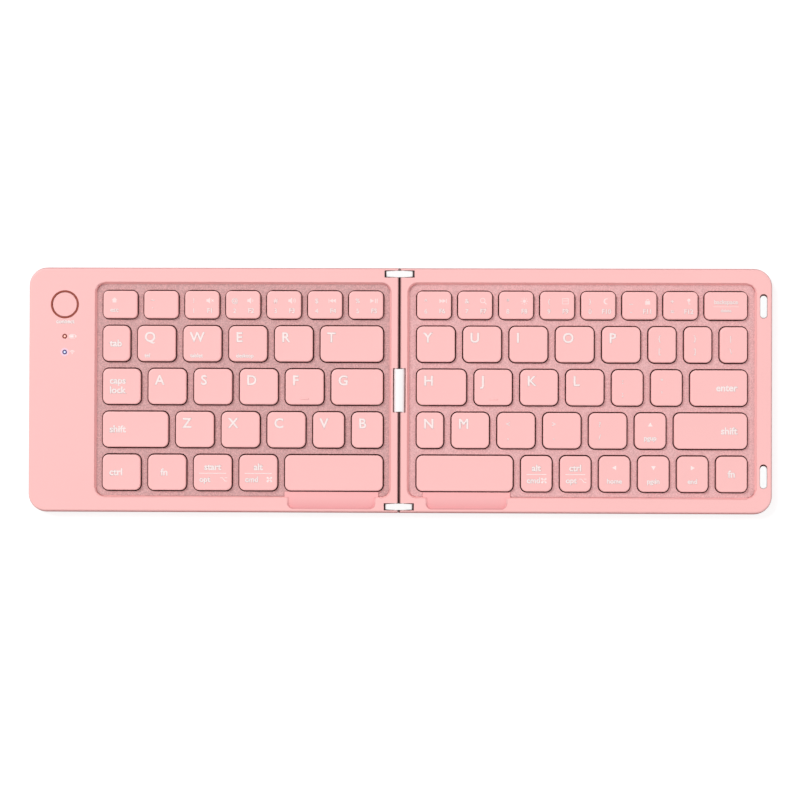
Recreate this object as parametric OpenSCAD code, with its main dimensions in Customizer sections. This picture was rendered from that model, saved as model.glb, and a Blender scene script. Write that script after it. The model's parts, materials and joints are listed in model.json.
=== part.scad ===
// Folding keyboard: two halves that close like a book on a double hinge, shown open.
// X runs along the open keyboard from the fold line at 0, +Y is the rear edge,
// and Z = 0 is the surface that the feet stand on.

/* [Case] */
// Length of one half, from the fold line to its far end
half_len = 152.5; // [151:0.5:158]
// Depth of the case, front edge to rear edge
case_depth = 100.5; // [99.5:0.5:106]
// Thickness of the case without its feet
case_t = 6.4; // [6.4:0.1:7.2]
// Radius of the outer corners, seen from above
corner_r = 7.5; // [6:0.5:9]
// Rounding of the top shell's outer edge
top_edge_r = 0.7; // [0.3:0.1:1]
// Rounding of the bottom shell's outer edge
bottom_edge_r = 1.2; // [0.6:0.1:1.4]
// How far the top shell stands in from the bottom shell
shell_step = 0.5; // [0.3:0.05:0.6]
// Width of the seam groove between the shells
seam_w = 0.25; // [0.1:0.05:0.25]
// Depth of the seam groove
seam_depth = 0.6; // [0.3:0.1:0.8]
// Thickness of the bottom shell's floor
floor_t = 1; // [1:0.1:1.2]
// Height of the bottom shell, from its underside to the parting line
bottom_shell_h = 2.6; // [2.4:0.1:2.8]
// Thickness of the top plate over the electronics
top_plate_t = 1.4; // [1.2:0.1:1.6]
// Thickness of the walls round the electronics
wall_t = 1.6; // [1.2:0.1:2]

/* [Key well] */
// Depth of the well from the case's top face to the key deck
deck_drop = 2; // [1.8:0.1:2.2]
// Thickness of the key deck
deck_t = 0.8; // [0.6:0.1:1]
// Width of the case between the fold line and the wells
fold_margin = 3.2; // [3.1:0.1:3.6]
// Width of the case beyond the left well, over the battery and the board
power_margin = 27.4; // [26:0.2:30]
// Width of the case beyond the right well
rim_margin = 6.5; // [5.8:0.1:7]
// Width of the case before and behind the wells
rim_depth = 6; // [5.8:0.1:6.6]
// Deck between the left half's outer keys and the well's side walls
left_border = 3.5; // [2.8:0.1:4]
// Deck between the right half's outer keys and the well's side walls
right_border = 4; // [3:0.1:4.4]
// Deck between the front row's keys and the well's front wall
front_border = 3.1; // [2.6:0.1:3.6]
// Deck between the rear row's keys and the well's rear wall
rear_border = 3.7; // [2.6:0.1:4]
// Radius of the well's corners at the top face
well_r = 4; // [3:0.5:6]
// How far the well's wall slopes in on its way down
well_slope = 0.8; // [0.4:0.1:1.2]
// Overlap of the deck under the case's rim
deck_lap = 1.2; // [1:0.1:1.6]
// Overlap of the deck under the rim at the fold
fold_lap = 0.25; // [0.15:0.05:0.3]
// Thickness of the bottom shell's tongue that carries the deck
tongue_t = 1.2; // [1:0.1:1.4]
// Clearance round the deck and the tongue
seat_gap = 0.15; // [0.1:0.05:0.25]

/* [Thumb scoops] */
// Start of the left scoop, from the space key's fold end
left_scoop_near = 2.8; // [2.4:0.1:6]
// End of the left scoop, from the space key's far end
left_scoop_far = 0.8; // [0.6:0.1:6]
// Start of the right scoop, from the space key's fold end
right_scoop_near = 3.7; // [2.4:0.1:6]
// End of the right scoop, from the space key's far end
right_scoop_far = 2.1; // [1:0.1:6]
// How far the scoops reach from the well towards the front edge
scoop_reach = 4.4; // [3:0.2:4.6]
// Depth of the scoops below the top face
scoop_depth = 1.3; // [0.8:0.1:1.4]
// Radius of the scoops' corners
scoop_r = 2; // [1:0.2:2.4]

/* [Keys] */
// Gap between the keys of a row on the left half
left_space = 3.2; // [2.6:0.05:3.5]
// Gap between the keys of a row on the right half
right_space = 3.4; // [2.6:0.05:3.6]
// Gap between the keys of the rear rows
number_space = 2.85; // [2.2:0.05:3.1]
// Depth of the keys in the rear row, which shares the well's depth with the others
number_d = 11.25; // [10.5:0.05:12]
// Depth of the keys in the other rows
letter_d = 14.5; // [14:0.05:15.2]
// Gap between the rows
row_gap = 3.1; // [2.6:0.02:3.4]
// Width of a key in the rear row; each row's widths share the well's width
number_w = 13.96; // [13.5:0.02:14.6]
// Width of a letter key
letter_w = 15.5; // [15.1:0.01:16]
// Width of the tab key
tab_w = 11; // [10.5:0.1:12.5]
// Width of the wide letter key beside the fold in the second row
wide_t_w = 25.5; // [24.5:0.1:27]
// Width of the caps lock key
caps_w = 15.4; // [14.5:0.05:17]
// Width of the wide letter key beside the fold in the third row, left
wide_g_w = 21; // [20:0.1:23]
// Width of the left shift key
left_shift_w = 26.7; // [25.5:0.1:29]
// Width of the two narrow letter keys beside the fold
narrow_w = 12.6; // [12:0.1:14]
// Width of the space keys
space_w = 39.9; // [38.5:0.1:41.5]
// Width of the key at the right end of the rear row
backspace_w = 17.35; // [16.5:0.05:19]
// Width of the three bracket keys
bracket_w = 11.1; // [10.5:0.05:12.3]
// Width of the wide letter key beside the fold in the third row, right
wide_h_w = 20.4; // [19.5:0.1:22]
// Width of the semicolon and quote keys
semicolon_w = 12.7; // [12:0.1:14]
// Width of the enter key
enter_w = 23.4; // [22.5:0.1:25]
// Width of the letter key beside the fold in the fourth row, right
slim_n_w = 11; // [10.5:0.1:12.5]
// Width of the right shift key
right_shift_w = 30.1; // [28.5:0.1:32]
// Width of the small keys in the front row and of the up arrow
arrow_w = 12.7; // [12:0.1:13.8]
// Corner radius of the keys
key_r = 2.4; // [1.6:0.1:2.8]
// Rounding of a key's top edge
key_edge_r = 0.4; // [0.2:0.1:0.6]
// How far the key tops lie below the case's top face
key_drop = 0.1; // [0:0.05:0.3]
// Travel of a key
key_travel = 1.2; // [0.8:0.1:1.4]
// Thickness of a key's top
key_top_t = 1.1; // [0.9:0.1:1.3]
// Thickness of a key's skirt
key_wall = 1; // [0.8:0.1:1.2]
// Gap round each key in the deck
key_gap = 0.5; // [0.35:0.05:0.55]

/* [Key switches] */
// Thickness of the steel plate under the keys
plate_t = 0.4; // [0.3:0.1:0.5]
// Thickness of the switch membrane
membrane_t = 0.2; // [0.15:0.05:0.25]
// Radius of a rubber dome at its foot
dome_r = 2.1; // [1.8:0.1:2.3]
// Length of a scissor frame along its slope
scissor_len = 8.2; // [7.4:0.2:8.6]
// Width of the outer scissor frame
scissor_w = 7.6; // [7:0.2:7.8]
// Thickness of the scissor frames
scissor_t = 0.6; // [0.4:0.1:0.7]

/* [Hinge] */
// Half the distance between the two fold axes
pivot_half = 1.5; // [1.4:0.05:1.6]
// Depth of the fold axes below the top face
pivot_drop = 1.1; // [1:0.05:1.2]
// Gap between the halves at the fold
fold_gap = 0.4; // [0.3:0.05:0.5]
// Length of a hinge link across the fold
link_len = 11.3; // [10.6:0.1:11.6]
// Width of a hinge link at its middle
link_w = 2.6; // [2.4:0.1:2.8]
// Width of a hinge link at its ends
link_end_w = 2.06; // [1.8:0.02:2.2]
// Distance from the case's outer edge to a link's middle
link_inset = 2.6; // [2.5:0.05:2.9]
// Depth of the links' tops below the top face
link_drop = 0.1; // [0.05:0.05:0.3]
// Clearance on each side of a link in its slot
link_gap = 0.15; // [0.1:0.05:0.25]
// Clearance at a link's ends
link_end_gap = 0.5; // [0.45:0.05:0.7]
// Diameter of the link pins
pin_d = 1; // [0.8:0.05:1.1]
// Radial clearance of the pins in the halves
pin_gap = 0.04; // [0.02:0.01:0.08]
// How far the pins reach into the halves beside a link
pin_grip = 2.2; // [1.6:0.1:2.6]
// Width of the cable guard across the fold
guard_w = 4.6; // [4.4:0.1:4.8]
// Length of the cable guard along the fold
guard_len = 17.5; // [16:0.5:20]
// Rise of the cable guard's crowned top
guard_crown = 0.8; // [0.5:0.1:0.9]
// Gap beside the cable guard
guard_gap = 0.3; // [0.3:0.05:0.4]
// Depth of the cable guard's crown below the top face
guard_drop = 0.2; // [0.15:0.05:0.3]
// Reach of the right half's hidden ledge under the fold line
ledge_reach = 0.3; // [0.25:0.05:0.35]
// Gap at the cable guard's ends
guard_end_gap = 0.3; // [0.2:0.05:0.5]
// Diameter of the cable guard's pins
guard_pin_d = 0.8; // [0.6:0.05:0.8]
// Width of the flat cable between the halves
flex_w = 13; // [9:0.5:14]
// Thickness of the flat cable
flex_t = 0.12; // [0.1:0.01:0.16]

/* [Power button and lights] */
// Distance of the button and lights from the case's left end
button_inset = 15.1; // [14:0.1:16]
// Distance of the button from the case's rear edge
button_from_rear = 15.35; // [15:0.05:16]
// Diameter of the button
button_d = 10; // [9:0.2:10.4]
// Travel of the button
button_travel = 0.4; // [0.3:0.05:0.45]
// Width of the ring round the button
ring_w = 0.6; // [0.4:0.05:0.8]
// How far the ring stands out of the case
ring_proud = 0.1; // [0:0.05:0.15]
// Gap between the button and its ring
button_gap = 0.15; // [0.1:0.05:0.25]
// Diameter of the two lights
lens_d = 1.9; // [1.6:0.1:2.4]
// Distance of the charge light in front of the button
charge_light_step = 13.1; // [12:0.1:14]
// Distance of the link light in front of the button
link_light_step = 19.6; // [18.5:0.1:21]

/* [Electronics] */
// Room on each side of the battery
battery_room = 1.4; // [0.5:0.1:3]
// Thickness of the battery
battery_t = 3.2; // [2.4:0.1:3.4]
// Thickness of the circuit board
board_t = 0.8; // [0.6:0.1:0.9]
// Length of the circuit board, front to rear
board_len = 35; // [33:0.5:38]
// Height of the circuit board above the floor
board_lift = 1; // [0.8:0.1:1.1]
// Width of the charging socket
socket_w = 8.94; // [8.8:0.02:9.1]
// Height of the charging socket
socket_h = 3.26; // [3.1:0.02:3.3]
// Depth of the charging socket
socket_l = 6.9; // [6.4:0.1:7.5]
// Distance of the charging socket in front of the button
socket_step = 8.4; // [7:0.1:10]

/* [Feet, screws and bumpers] */
// How far the feet stand out below the case
foot_t = 0.6; // [0.5:0.1:1]
// Length of a foot
foot_len = 12; // [8:0.5:14]
// Width of a foot
foot_w = 4; // [3:0.2:4.4]
// Depth of the recess that holds a foot
foot_seat = 0.3; // [0.2:0.05:0.4]
// Diameter of the screws' shanks
screw_d = 1.2; // [1:0.1:1.4]
// Diameter of the screws' heads
screw_head_d = 2.6; // [2.2:0.1:3]
// Height of the screws' heads
screw_head_h = 0.8; // [0.6:0.1:1]
// Length of a closing bumper
bumper_len = 10; // [8:0.2:12]
// Width of a closing bumper
bumper_w = 3.1; // [2.6:0.1:3.2]
// Distance of a bumper's middle from the case's front or rear edge
bumper_inset = 15.5; // [14:0.25:20]
// Distance of the bumpers' middle from the case's right end
bumper_from_end = 3.85; // [3.4:0.05:4]
// How far the bumpers stand out of the case
bumper_proud = 0.5; // [0.3:0.05:0.6]

/* [Hidden] */
$fn = 64;
over = 0.5;   // how far a cut runs past the face that it opens
split = 0.1;  // clearance between pieces stacked on each other

// Heights
z_case = foot_t;
z_top = z_case + case_t;
z_part = z_case + bottom_shell_h;
z_floor = z_case + floor_t;
z_deck = z_top - deck_drop;
z_membrane = z_floor + plate_t;
z_key = z_top - key_drop;
key_h = deck_drop - key_drop + deck_t - split;
z_skirt = z_key - key_h;
z_pivot = z_top - pivot_drop;
z_board = z_floor + board_lift;

// Plan of the wells, measured from the fold line outwards
block_left = half_len - fold_margin - 2 * left_border - power_margin;
block_right = half_len - fold_margin - 2 * right_border - rim_margin;
well_d = case_depth - 2 * rim_depth;
block_d = well_d - front_border - rear_border;
block_front = well_d / 2 - front_border;  // the keys' front edge, in front of the middle

row_share = (block_d - 4 * row_gap) / (number_d + 4 * letter_d);
function to_mould(size) = round(size * 50) / 50;  // keys are sized and placed in whole 0.02 mm
row_d = [for (d = [number_d, letter_d, letter_d, letter_d, letter_d]) to_mould(row_share * d)];
row_step = (block_d - row_d[0] - 4 * row_d[1]) / 4;
function border_of(block) = block == block_left ? left_border : right_border;
function well_far(block) = fold_margin + 2 * border_of(block) + block;
function key_start(block) = fold_margin + border_of(block);

// Keys of each row from left to right as [node, width]; the widths share their block
left_rows = [
    [for (i = [1:7]) ["left_number_keys", number_w]],
    [["left_side_keys", tab_w], ["key_q", letter_w], ["key_w", letter_w],
     ["key_e", letter_w], ["key_r", letter_w], ["key_t", wide_t_w]],
    [["left_side_keys", caps_w], ["key_a", letter_w], ["key_s", letter_w],
     ["key_d", letter_w], ["key_f", letter_w], ["key_g", wide_g_w]],
    [["left_side_keys", left_shift_w], ["key_z", letter_w], ["key_x", letter_w],
     ["key_c", letter_w], ["key_v", narrow_w], ["key_b", narrow_w]],
    [for (i = [1:4]) ["left_side_keys", letter_w], ["left_space_key", space_w]]
];
right_rows = [
    [for (i = [1:7]) ["right_number_keys", number_w],
     ["right_number_keys", backspace_w]],
    [["key_y", letter_w], ["key_u", letter_w], ["key_i", letter_w],
     ["key_o", letter_w], ["key_p", letter_w],
     for (i = [1:3]) ["right_symbol_keys", bracket_w]],
    [["key_h", wide_h_w], ["key_j", letter_w], ["key_k", letter_w],
     ["key_l", letter_w], ["right_symbol_keys", semicolon_w],
     ["right_symbol_keys", semicolon_w], ["right_side_keys", enter_w]],
    [["key_n", slim_n_w], ["key_m", letter_w],
     for (i = [1:3]) ["right_symbol_keys", letter_w],
     ["right_side_keys", arrow_w], ["right_side_keys", right_shift_w]],
    [["right_space_key", space_w],
     for (i = [1:6]) ["right_side_keys", arrow_w]]
];

function total(values, count) = count <= 0 ? 0 : values[count - 1] + total(values, count - 1);
function row_y(row) = to_mould(
    block_d - block_front - total(row_d, row) - row * row_step - row_d[row] / 2);
// The keys of one half as [node, x, y, width, depth]
function placed(rows, x0, block, space) = [
    for (row = [0:len(rows) - 1])
        let (sizes = [for (key = rows[row]) key[1]],
             count = len(sizes),
             keys_only = block - (count - 1) * (row == 0 ? number_space : space),
             widths = [for (size = sizes) to_mould(size * keys_only / total(sizes, count))],
             gap = (block - total(widths, count)) / (count - 1))
        for (i = [0:count - 1])
            [rows[row][i][0], to_mould(x0 + total(widths, i) + i * gap + widths[i] / 2),
             row_y(row), widths[i], row_d[row]]
];
left_keys = placed(left_rows, -key_start(block_left) - block_left, block_left, left_space);
right_keys = placed(right_rows, key_start(block_right), block_right, right_space);
function width_of(name, keys) = [for (key = keys) if (key[0] == name) key[3]][0];
left_scoop = [to_mould(key_start(block_left) + left_scoop_near),
    to_mould(key_start(block_left) + width_of("left_space_key", left_keys) - left_scoop_far)];
right_scoop = [to_mould(key_start(block_right) + right_scoop_near),
    to_mould(key_start(block_right) + width_of("right_space_key", right_keys) - right_scoop_far)];
all_keys = concat(left_keys, right_keys);

letter_nodes = ["key_q", "key_w", "key_e", "key_r", "key_t", "key_y", "key_u", "key_i",
    "key_o", "key_p", "key_a", "key_s", "key_d", "key_f", "key_g", "key_h", "key_j",
    "key_k", "key_l", "key_z", "key_x", "key_c", "key_v", "key_b", "key_n", "key_m"];
key_nodes = concat(letter_nodes, ["left_space_key", "right_space_key", "left_number_keys",
    "left_side_keys", "right_number_keys", "right_symbol_keys", "right_side_keys"]);

// Hinge
edge_round = pivot_half - fold_gap / 2;
link_h = 2 * (pivot_drop - link_drop) + 0.3;
link_y = case_depth / 2 - link_inset;
z_link = z_top - link_drop - link_h;
slot_end = link_len / 2 + link_end_gap;
slot_w = link_w + 2 * link_gap;
link_sweep = link_len / 2 - pivot_half + 0.15;
z_slot = z_pivot - link_sweep - 0.25;
ear_out = case_depth / 2 - shell_step;
pin_out = ear_out - 0.2;
pin_in = link_y - slot_w / 2 - pin_grip;
notch_x = guard_w / 2 + guard_gap;
notch_y = guard_len / 2 + guard_end_gap;
z_guard = z_pivot - pivot_half + fold_gap / 2;
guard_h = z_top - guard_drop - z_guard;
ledge_gap = 0.2;
ledge_drop = 0.4;
z_notch = z_guard - 0.6;
flex_slot_h = 0.35;
z_flex = z_guard + 0.25 + flex_slot_h / 2;
flex_room = flex_w + 1;
flex_end = 12;
tongue_x = fold_margin + well_slope - fold_lap + tongue_t;

// Screws and feet
screw_spots = [[12, case_depth / 2 - 3.1], [half_len - 3.9, case_depth / 2 - 5.2]];
foot_spots = [[24, case_depth / 2 - 5.8], [half_len - 18, case_depth / 2 - 5.8]];
screw_gap = 0.05;
screw_bite = 1.8;
z_screw = z_case + 0.2;

// Electronics bay, in the left half's far margin
bay_near = well_far(block_left) - well_slope + deck_lap + seat_gap + 1.2;
bay_far = half_len - wall_t;
bay_y = case_depth / 2 - corner_r - 1.25;
z_bay_top = z_top - top_plate_t;
bay_room = 0.5;
board_front = bay_y - bay_room - board_len;
board_to_battery = 2.5;
battery_w = bay_far - bay_near - 2 * battery_room;
battery_len = board_front - board_to_battery + bay_y - 2 * bay_room;
tail_w = 10;
tail_y = board_front + 9;
button_x = half_len - button_inset;
button_y = case_depth / 2 - button_from_rear;
charge_light_y = button_y - charge_light_step;
link_light_y = button_y - link_light_step;
socket_y = button_y - socket_step;
bumper_x = half_len - bumper_from_end;
bumper_y = case_depth / 2 - bumper_inset;
z_socket = (z_floor + z_bay_top) / 2;

pink = [0.98, 0.78, 0.77];
deck_pink = [0.87, 0.66, 0.65];
legend_white = [1, 0.97, 0.96];
steel = [0.72, 0.72, 0.74];
copper = [0.62, 0.33, 0.24];
graphite = [0.2, 0.2, 0.22];
board_green = [0.1, 0.35, 0.22];

// Rectangle with round corners, from x0 to x1 and centred on Y
module plan(x0, x1, depth, r) {
    translate([x0 + r, -depth / 2]) square([x1 - x0 - 2 * r, depth]);
    translate([x0, -depth / 2 + r]) square([x1 - x0, depth - 2 * r]);
    for (x = [x0 + r, x1 - r], y = [-depth / 2 + r, depth / 2 - r])
        translate([x, y]) circle(r);
}

// Block with round corners whose top edge is rounded
module rounded_slab(w, d, h, r, edge) {
    module side(width) {
        translate([-width / 2, 0]) square([width, h - edge]);
        translate([-width / 2 + edge, 0]) square([width - 2 * edge, h]);
        for (s = [-1, 1]) translate([s * (width / 2 - edge), h - edge]) circle(edge);
    }
    rotate([90, 0, 0]) linear_extrude(d - 2 * r, center = true) side(w);
    rotate([90, 0, 90]) linear_extrude(w - 2 * r, center = true) side(d);
    for (x = [-1, 1], y = [-1, 1]) translate([x * (w / 2 - r), y * (d / 2 - r), 0])
        rotate_extrude() {
            square([r, h - edge]);
            square([r - edge, h]);
            translate([r - edge, h - edge]) circle(edge);
        }
}

// Block with round corners that grows from r0 at its foot by grow on each side
module flared_slab(w, d, h, r, grow) {
    module side(width) polygon([[-width / 2, 0], [width / 2, 0],
        [width / 2 + grow, h], [-width / 2 - grow, h]]);
    rotate([90, 0, 0]) linear_extrude(d - 2 * r, center = true) side(w);
    rotate([90, 0, 90]) linear_extrude(w - 2 * r, center = true) side(d);
    for (x = [-1, 1], y = [-1, 1]) translate([x * (w / 2 - r), y * (d / 2 - r), 0])
        cylinder(r1 = r, r2 = r + grow, h = h);
}

// Rounded bar between two points on a line along X
module slot_shape(length, width) {
    square([length - width, width], center = true);
    for (s = [-1, 1]) translate([s * (length - width) / 2, 0]) circle(width / 2);
}

// Bar along Y with round ends and a rounded top edge
module rounded_bar(length, width, h, edge) {
    rotate([90, 0, 0]) linear_extrude(length - width, center = true) {
        translate([-width / 2, 0]) square([width, h - edge]);
        translate([-width / 2 + edge, 0]) square([width - 2 * edge, h]);
        for (s = [-1, 1]) translate([s * (width / 2 - edge), h - edge]) circle(edge);
    }
    for (s = [-1, 1]) translate([0, s * (length - width) / 2, 0]) rounded_disc(width, h, edge);
}

// Everything on the +X side of x0, up to z1
module beyond(x0, z1) {
    translate([x0, -case_depth, -1]) cube([half_len * 2, case_depth * 2, z1 + 1]);
}

// Groove round the case where the shells meet
module seam_groove() {
    inner = half_len - shell_step;
    translate([0, 0, z_part - seam_depth]) linear_extrude(seam_depth + over) difference() {
        plan(-inner - seam_w, inner + seam_w, case_depth - 2 * shell_step + 2 * seam_w,
            corner_r - shell_step + seam_w);
        plan(-inner, inner, case_depth - 2 * shell_step, corner_r - shell_step);
    }
}

// Takes the square top edge off a half at the fold, leaving a roll about the fold axis
module fold_roll_cut() {
    rotate([90, 0, 0]) linear_extrude(case_depth + 2 * over, center = true) difference() {
        translate([0, z_pivot]) square([pivot_half, pivot_drop + over]);
        translate([pivot_half, z_pivot]) circle(edge_round);
    }
}

// Space that the hinge links swing in
module link_slots() {
    for (s = [-1, 1]) translate([-over, s * link_y - slot_w / 2, z_slot])
        cube([slot_end + over, slot_w, z_top - z_slot + over]);
}

// Bores for the hinge pins beside the links and beside the cable guard
module pin_bores() {
    for (s = [-1, 1]) {
        translate([pivot_half, s * (case_depth / 2 + over), z_pivot]) rotate([90 * s, 0, 0])
            cylinder(d = pin_d + 2 * pin_gap, h = case_depth / 2 + over - pin_in + split);
        translate([pivot_half, s * (notch_y + pin_grip + split), z_pivot]) rotate([90 * s, 0, 0])
            cylinder(d = guard_pin_d + 2 * pin_gap, h = pin_grip + 2 * split + over);
    }
}

// Deck outline, which the tongue and the well's seat follow
module deck_plan(block, grow) {
    plan(fold_margin + well_slope - fold_lap - grow,
        well_far(block) - well_slope + deck_lap + grow,
        well_d - 2 * well_slope + 2 * deck_lap + 2 * grow, 2 + grow);
}

// Space round the switch plate, inside the tongue
module tongue_plan(block, grow) {
    plan(fold_margin + well_slope - fold_lap + tongue_t - grow,
        well_far(block) - well_slope + deck_lap - tongue_t + grow,
        well_d - 2 * well_slope + 2 * deck_lap - 2 * tongue_t + 2 * grow, 1 + grow);
}

module screw_holes(d, z0, z1) {
    for (spot = screw_spots, s = [-1, 1]) translate([spot.x, s * spot.y, z0])
        cylinder(d = d, h = z1 - z0);
}

// Bottom shell of a half that runs from the fold to +X. Below the seam it starts at x_low:
// one half reaches under the fold line there, and the other stands back.
module bottom_shell(block, x_low) {
    difference() {
        union() {
            intersection() {
                translate([0, 0, z_part]) mirror([0, 0, 1])
                    rounded_slab(2 * half_len, case_depth, bottom_shell_h, corner_r,
                        bottom_edge_r);
                union() {
                    beyond(x_low, z_part - ledge_drop);
                    beyond(max(x_low, fold_gap / 2), z_top);
                }
            }
            translate([0, 0, z_part - 1]) linear_extrude(z_deck - deck_t - z_part + 1)
                deck_plan(block, 0);
        }
        translate([0, 0, z_floor]) linear_extrude(z_top) tongue_plan(block, 0);
        translate([0, -flex_room / 2, z_part]) cube([8, flex_room, z_top]);
        seam_groove();
        link_slots();
        screw_holes(screw_d + 2 * screw_gap, z_case - over, z_part + over);
        screw_holes(screw_head_d + 4 * screw_gap, z_case - over, z_screw + screw_head_h);
        for (spot = foot_spots, s = [-1, 1]) translate([spot.x, s * spot.y, z_case - over])
            linear_extrude(over + foot_seat) slot_shape(foot_len + 0.1, foot_w + 0.1);
    }
}

// Shallow ramp in the rim in front of the space key
module scoop_cut(scoop) {
    length = scoop[1] - scoop[0];
    front = well_d / 2 + scoop_reach;
    back = block_front + key_gap;
    translate([(scoop[0] + scoop[1]) / 2, -(front + back - over) / 2 + over / 2, z_top - scoop_depth])
        flared_slab(length - scoop_depth, front - back + over - scoop_depth / 2,
            scoop_depth + over, scoop_r, (scoop_depth + over) / 2);
}

// Land under the scoop, which stands over the deck's front border
module scoop_land(scoop) {
    front = well_d / 2 + 1;
    back = block_front + key_gap;
    translate([scoop[0] - 1, -front, z_deck])
        cube([scoop[1] - scoop[0] + 2, front - back, deck_drop - scoop_depth + 0.01]);
}

// Top shell of a half that runs from the fold to +X
module top_shell(block, scoop) {
    difference() {
        union() {
            difference() {
                intersection() {
                    translate([0, 0, z_part]) rounded_slab(2 * (half_len - shell_step),
                        case_depth - 2 * shell_step, z_top - z_part,
                        corner_r - shell_step, top_edge_r);
                    beyond(fold_gap / 2, z_top + over);
                }
                translate([(fold_margin + well_far(block)) / 2, 0, z_deck - over])
                    flared_slab(well_far(block) - fold_margin - 2 * well_slope
                        - 2 * well_slope * over / deck_drop,
                        well_d - 2 * well_slope - 2 * well_slope * over / deck_drop,
                        deck_drop + 2 * over, well_r - well_slope,
                        well_slope * (deck_drop + 2 * over) / deck_drop);
            }
            scoop_land(scoop);
        }
        scoop_cut(scoop);
        translate([0, 0, z_part - over]) linear_extrude(z_deck - z_part + over)
            deck_plan(block, seat_gap);
        fold_roll_cut();
        link_slots();
        pin_bores();
        translate([-over, -notch_y, z_notch]) cube([notch_x + over, 2 * notch_y, z_top]);
        translate([0, -flex_room / 2, z_part - over])
            cube([fold_margin + well_slope, flex_room, z_deck - z_part - 0.1 + over]);
        screw_holes(screw_d + 2 * screw_gap, z_part - over, z_part + screw_bite + 0.2);
    }
}

// Deck plate with an opening for each key, at its place in the open keyboard
module deck_plate(block, side, keys) {
    translate([0, 0, z_deck - deck_t]) linear_extrude(deck_t) difference() {
        mirror([side < 0 ? 1 : 0, 0]) deck_plan(block, 0);
        for (key = keys) translate([key[1], key[2]]) plan(-key[3] / 2 - key_gap,
            key[3] / 2 + key_gap, key[4] + 2 * key_gap, key_r + key_gap);
    }
}

module switch_plate(block) {
    translate([0, 0, z_floor]) linear_extrude(plate_t - 0.02) tongue_plan(block, -seat_gap);
}

module dome_sheet(block, side, keys) {
    dome_h = z_key - key_top_t - z_membrane - membrane_t - split;
    translate([0, 0, z_membrane]) {
        linear_extrude(membrane_t) mirror([side < 0 ? 1 : 0, 0])
            tongue_plan(block, -seat_gap - 0.1);
        for (key = keys) translate([key[1], key[2], membrane_t - 0.05]) {
            cylinder(r1 = dome_r, r2 = dome_r * 0.55, h = dome_h * 0.75);
            cylinder(r = dome_r * 0.55, h = dome_h + 0.05);
        }
    }
}

// One rectangular frame of a scissor pair, lying flat
module scissor_frame(length, width, bar) {
    linear_extrude(scissor_t, center = true) difference() {
        square([length, width], center = true);
        square([length - 2 * bar, width - 2 * bar], center = true);
    }
}

module scissor_pairs(keys) {
    low = z_membrane + membrane_t + split;
    high = z_key - key_top_t - split;
    bar = 0.8;
    tilt = asin((high - low - scissor_t * 1.1) / scissor_len);
    for (key = keys) translate([key[1], key[2], (low + high) / 2]) {
        rotate([0, tilt, 0]) scissor_frame(scissor_len, scissor_w, bar);
        rotate([0, -tilt, 0])
            scissor_frame(scissor_len, scissor_w - 2 * bar - 2 * split, bar);
    }
}

module keycap(w, d) {
    difference() {
        translate([0, 0, z_skirt]) rounded_slab(w, d, key_h, key_r, key_edge_r);
        translate([0, 0, z_skirt - over]) linear_extrude(key_h - key_top_t + over)
            plan(-w / 2 + key_wall, w / 2 - key_wall, d - 2 * key_wall, key_r - key_wall);
    }
}

module keys_of(name) {
    color(pink) for (key = all_keys) if (key[0] == name)
        translate([key[1], key[2], 0]) keycap(key[3], key[4]);
}

module rubber_feet() {
    color(graphite) for (spot = foot_spots, s = [-1, 1]) translate([spot.x, s * spot.y, 0])
        linear_extrude(foot_t + foot_seat) slot_shape(foot_len, foot_w);
}

module case_screws() {
    color(steel) for (spot = screw_spots, s = [-1, 1])
        translate([spot.x, s * spot.y, z_screw]) difference() {
            union() {
                cylinder(d = screw_head_d, h = screw_head_h);
                cylinder(d = screw_d, h = z_part + screw_bite - z_screw);
            }
            for (turn = [0, 90]) rotate(turn) translate([-0.7, -0.15, -over])
                cube([1.4, 0.3, over + 0.35]);
        }
}

module socket_plan(w, h) {
    rotate([90, 0, 90]) linear_extrude(socket_l * 3, center = true)
        slot_shape(w, h);
}

// Bay, button, lights and socket openings that only the left half has
module bay_cut(z0, z1) {
    translate([bay_near, -bay_y, z0]) cube([bay_far - bay_near, 2 * bay_y, z1 - z0]);
}

module socket_opening() {
    translate([half_len, socket_y, z_socket]) intersection() {
        socket_plan(socket_w + 0.4, socket_h + 0.4);
        translate([-wall_t - over, -10, -5]) cube([wall_t + 2 * over, 20, 10]);
    }
}

module left_bottom_case() {
    color(pink) mirror([1, 0, 0]) difference() {
        bottom_shell(block_left, ledge_reach + ledge_gap);
        difference() {
            bay_cut(z_floor, z_part + over);
            for (y = [board_front + 2, bay_y - 2.5], x = [bay_near + 2, bay_far - 2])
                translate([x, y, z_floor - 0.1]) cylinder(d = 2.4, h = board_lift + 0.1);
        }
        translate([bay_near - 5, tail_y - tail_w / 2 - 0.5, z_floor])
            cube([6, tail_w + 1, board_lift - 0.2]);
        socket_opening();
    }
}

module left_top_case() {
    color(pink) mirror([1, 0, 0]) difference() {
        top_shell(block_left, left_scoop);
        bay_cut(z_part - over, z_bay_top);
        socket_opening();
        translate([button_x, button_y, z_bay_top - over])
            cylinder(d = button_d + 2 * button_gap, h = top_plate_t + 2 * over);
        translate([button_x, button_y, z_top - top_plate_t / 2])
            cylinder(d = button_d + 2 * button_gap + 2 * ring_w + 0.1, h = top_plate_t);
        for (y = [charge_light_y, link_light_y]) translate([button_x, y, z_bay_top - over])
            cylinder(d = lens_d + 0.1, h = top_plate_t + 2 * over);
    }
}

module left_key_deck() { color(deck_pink) deck_plate(block_left, -1, left_keys); }
module left_backplate() { color(steel) mirror([1, 0, 0]) switch_plate(block_left); }

module left_membrane() {
    color(graphite) {
        dome_sheet(block_left, -1, left_keys);
        translate([-bay_near - 6, tail_y - tail_w / 2, z_membrane])
            cube([9.5, tail_w, membrane_t]);
    }
}

module left_scissors() { color("white") scissor_pairs(left_keys); }

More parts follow.
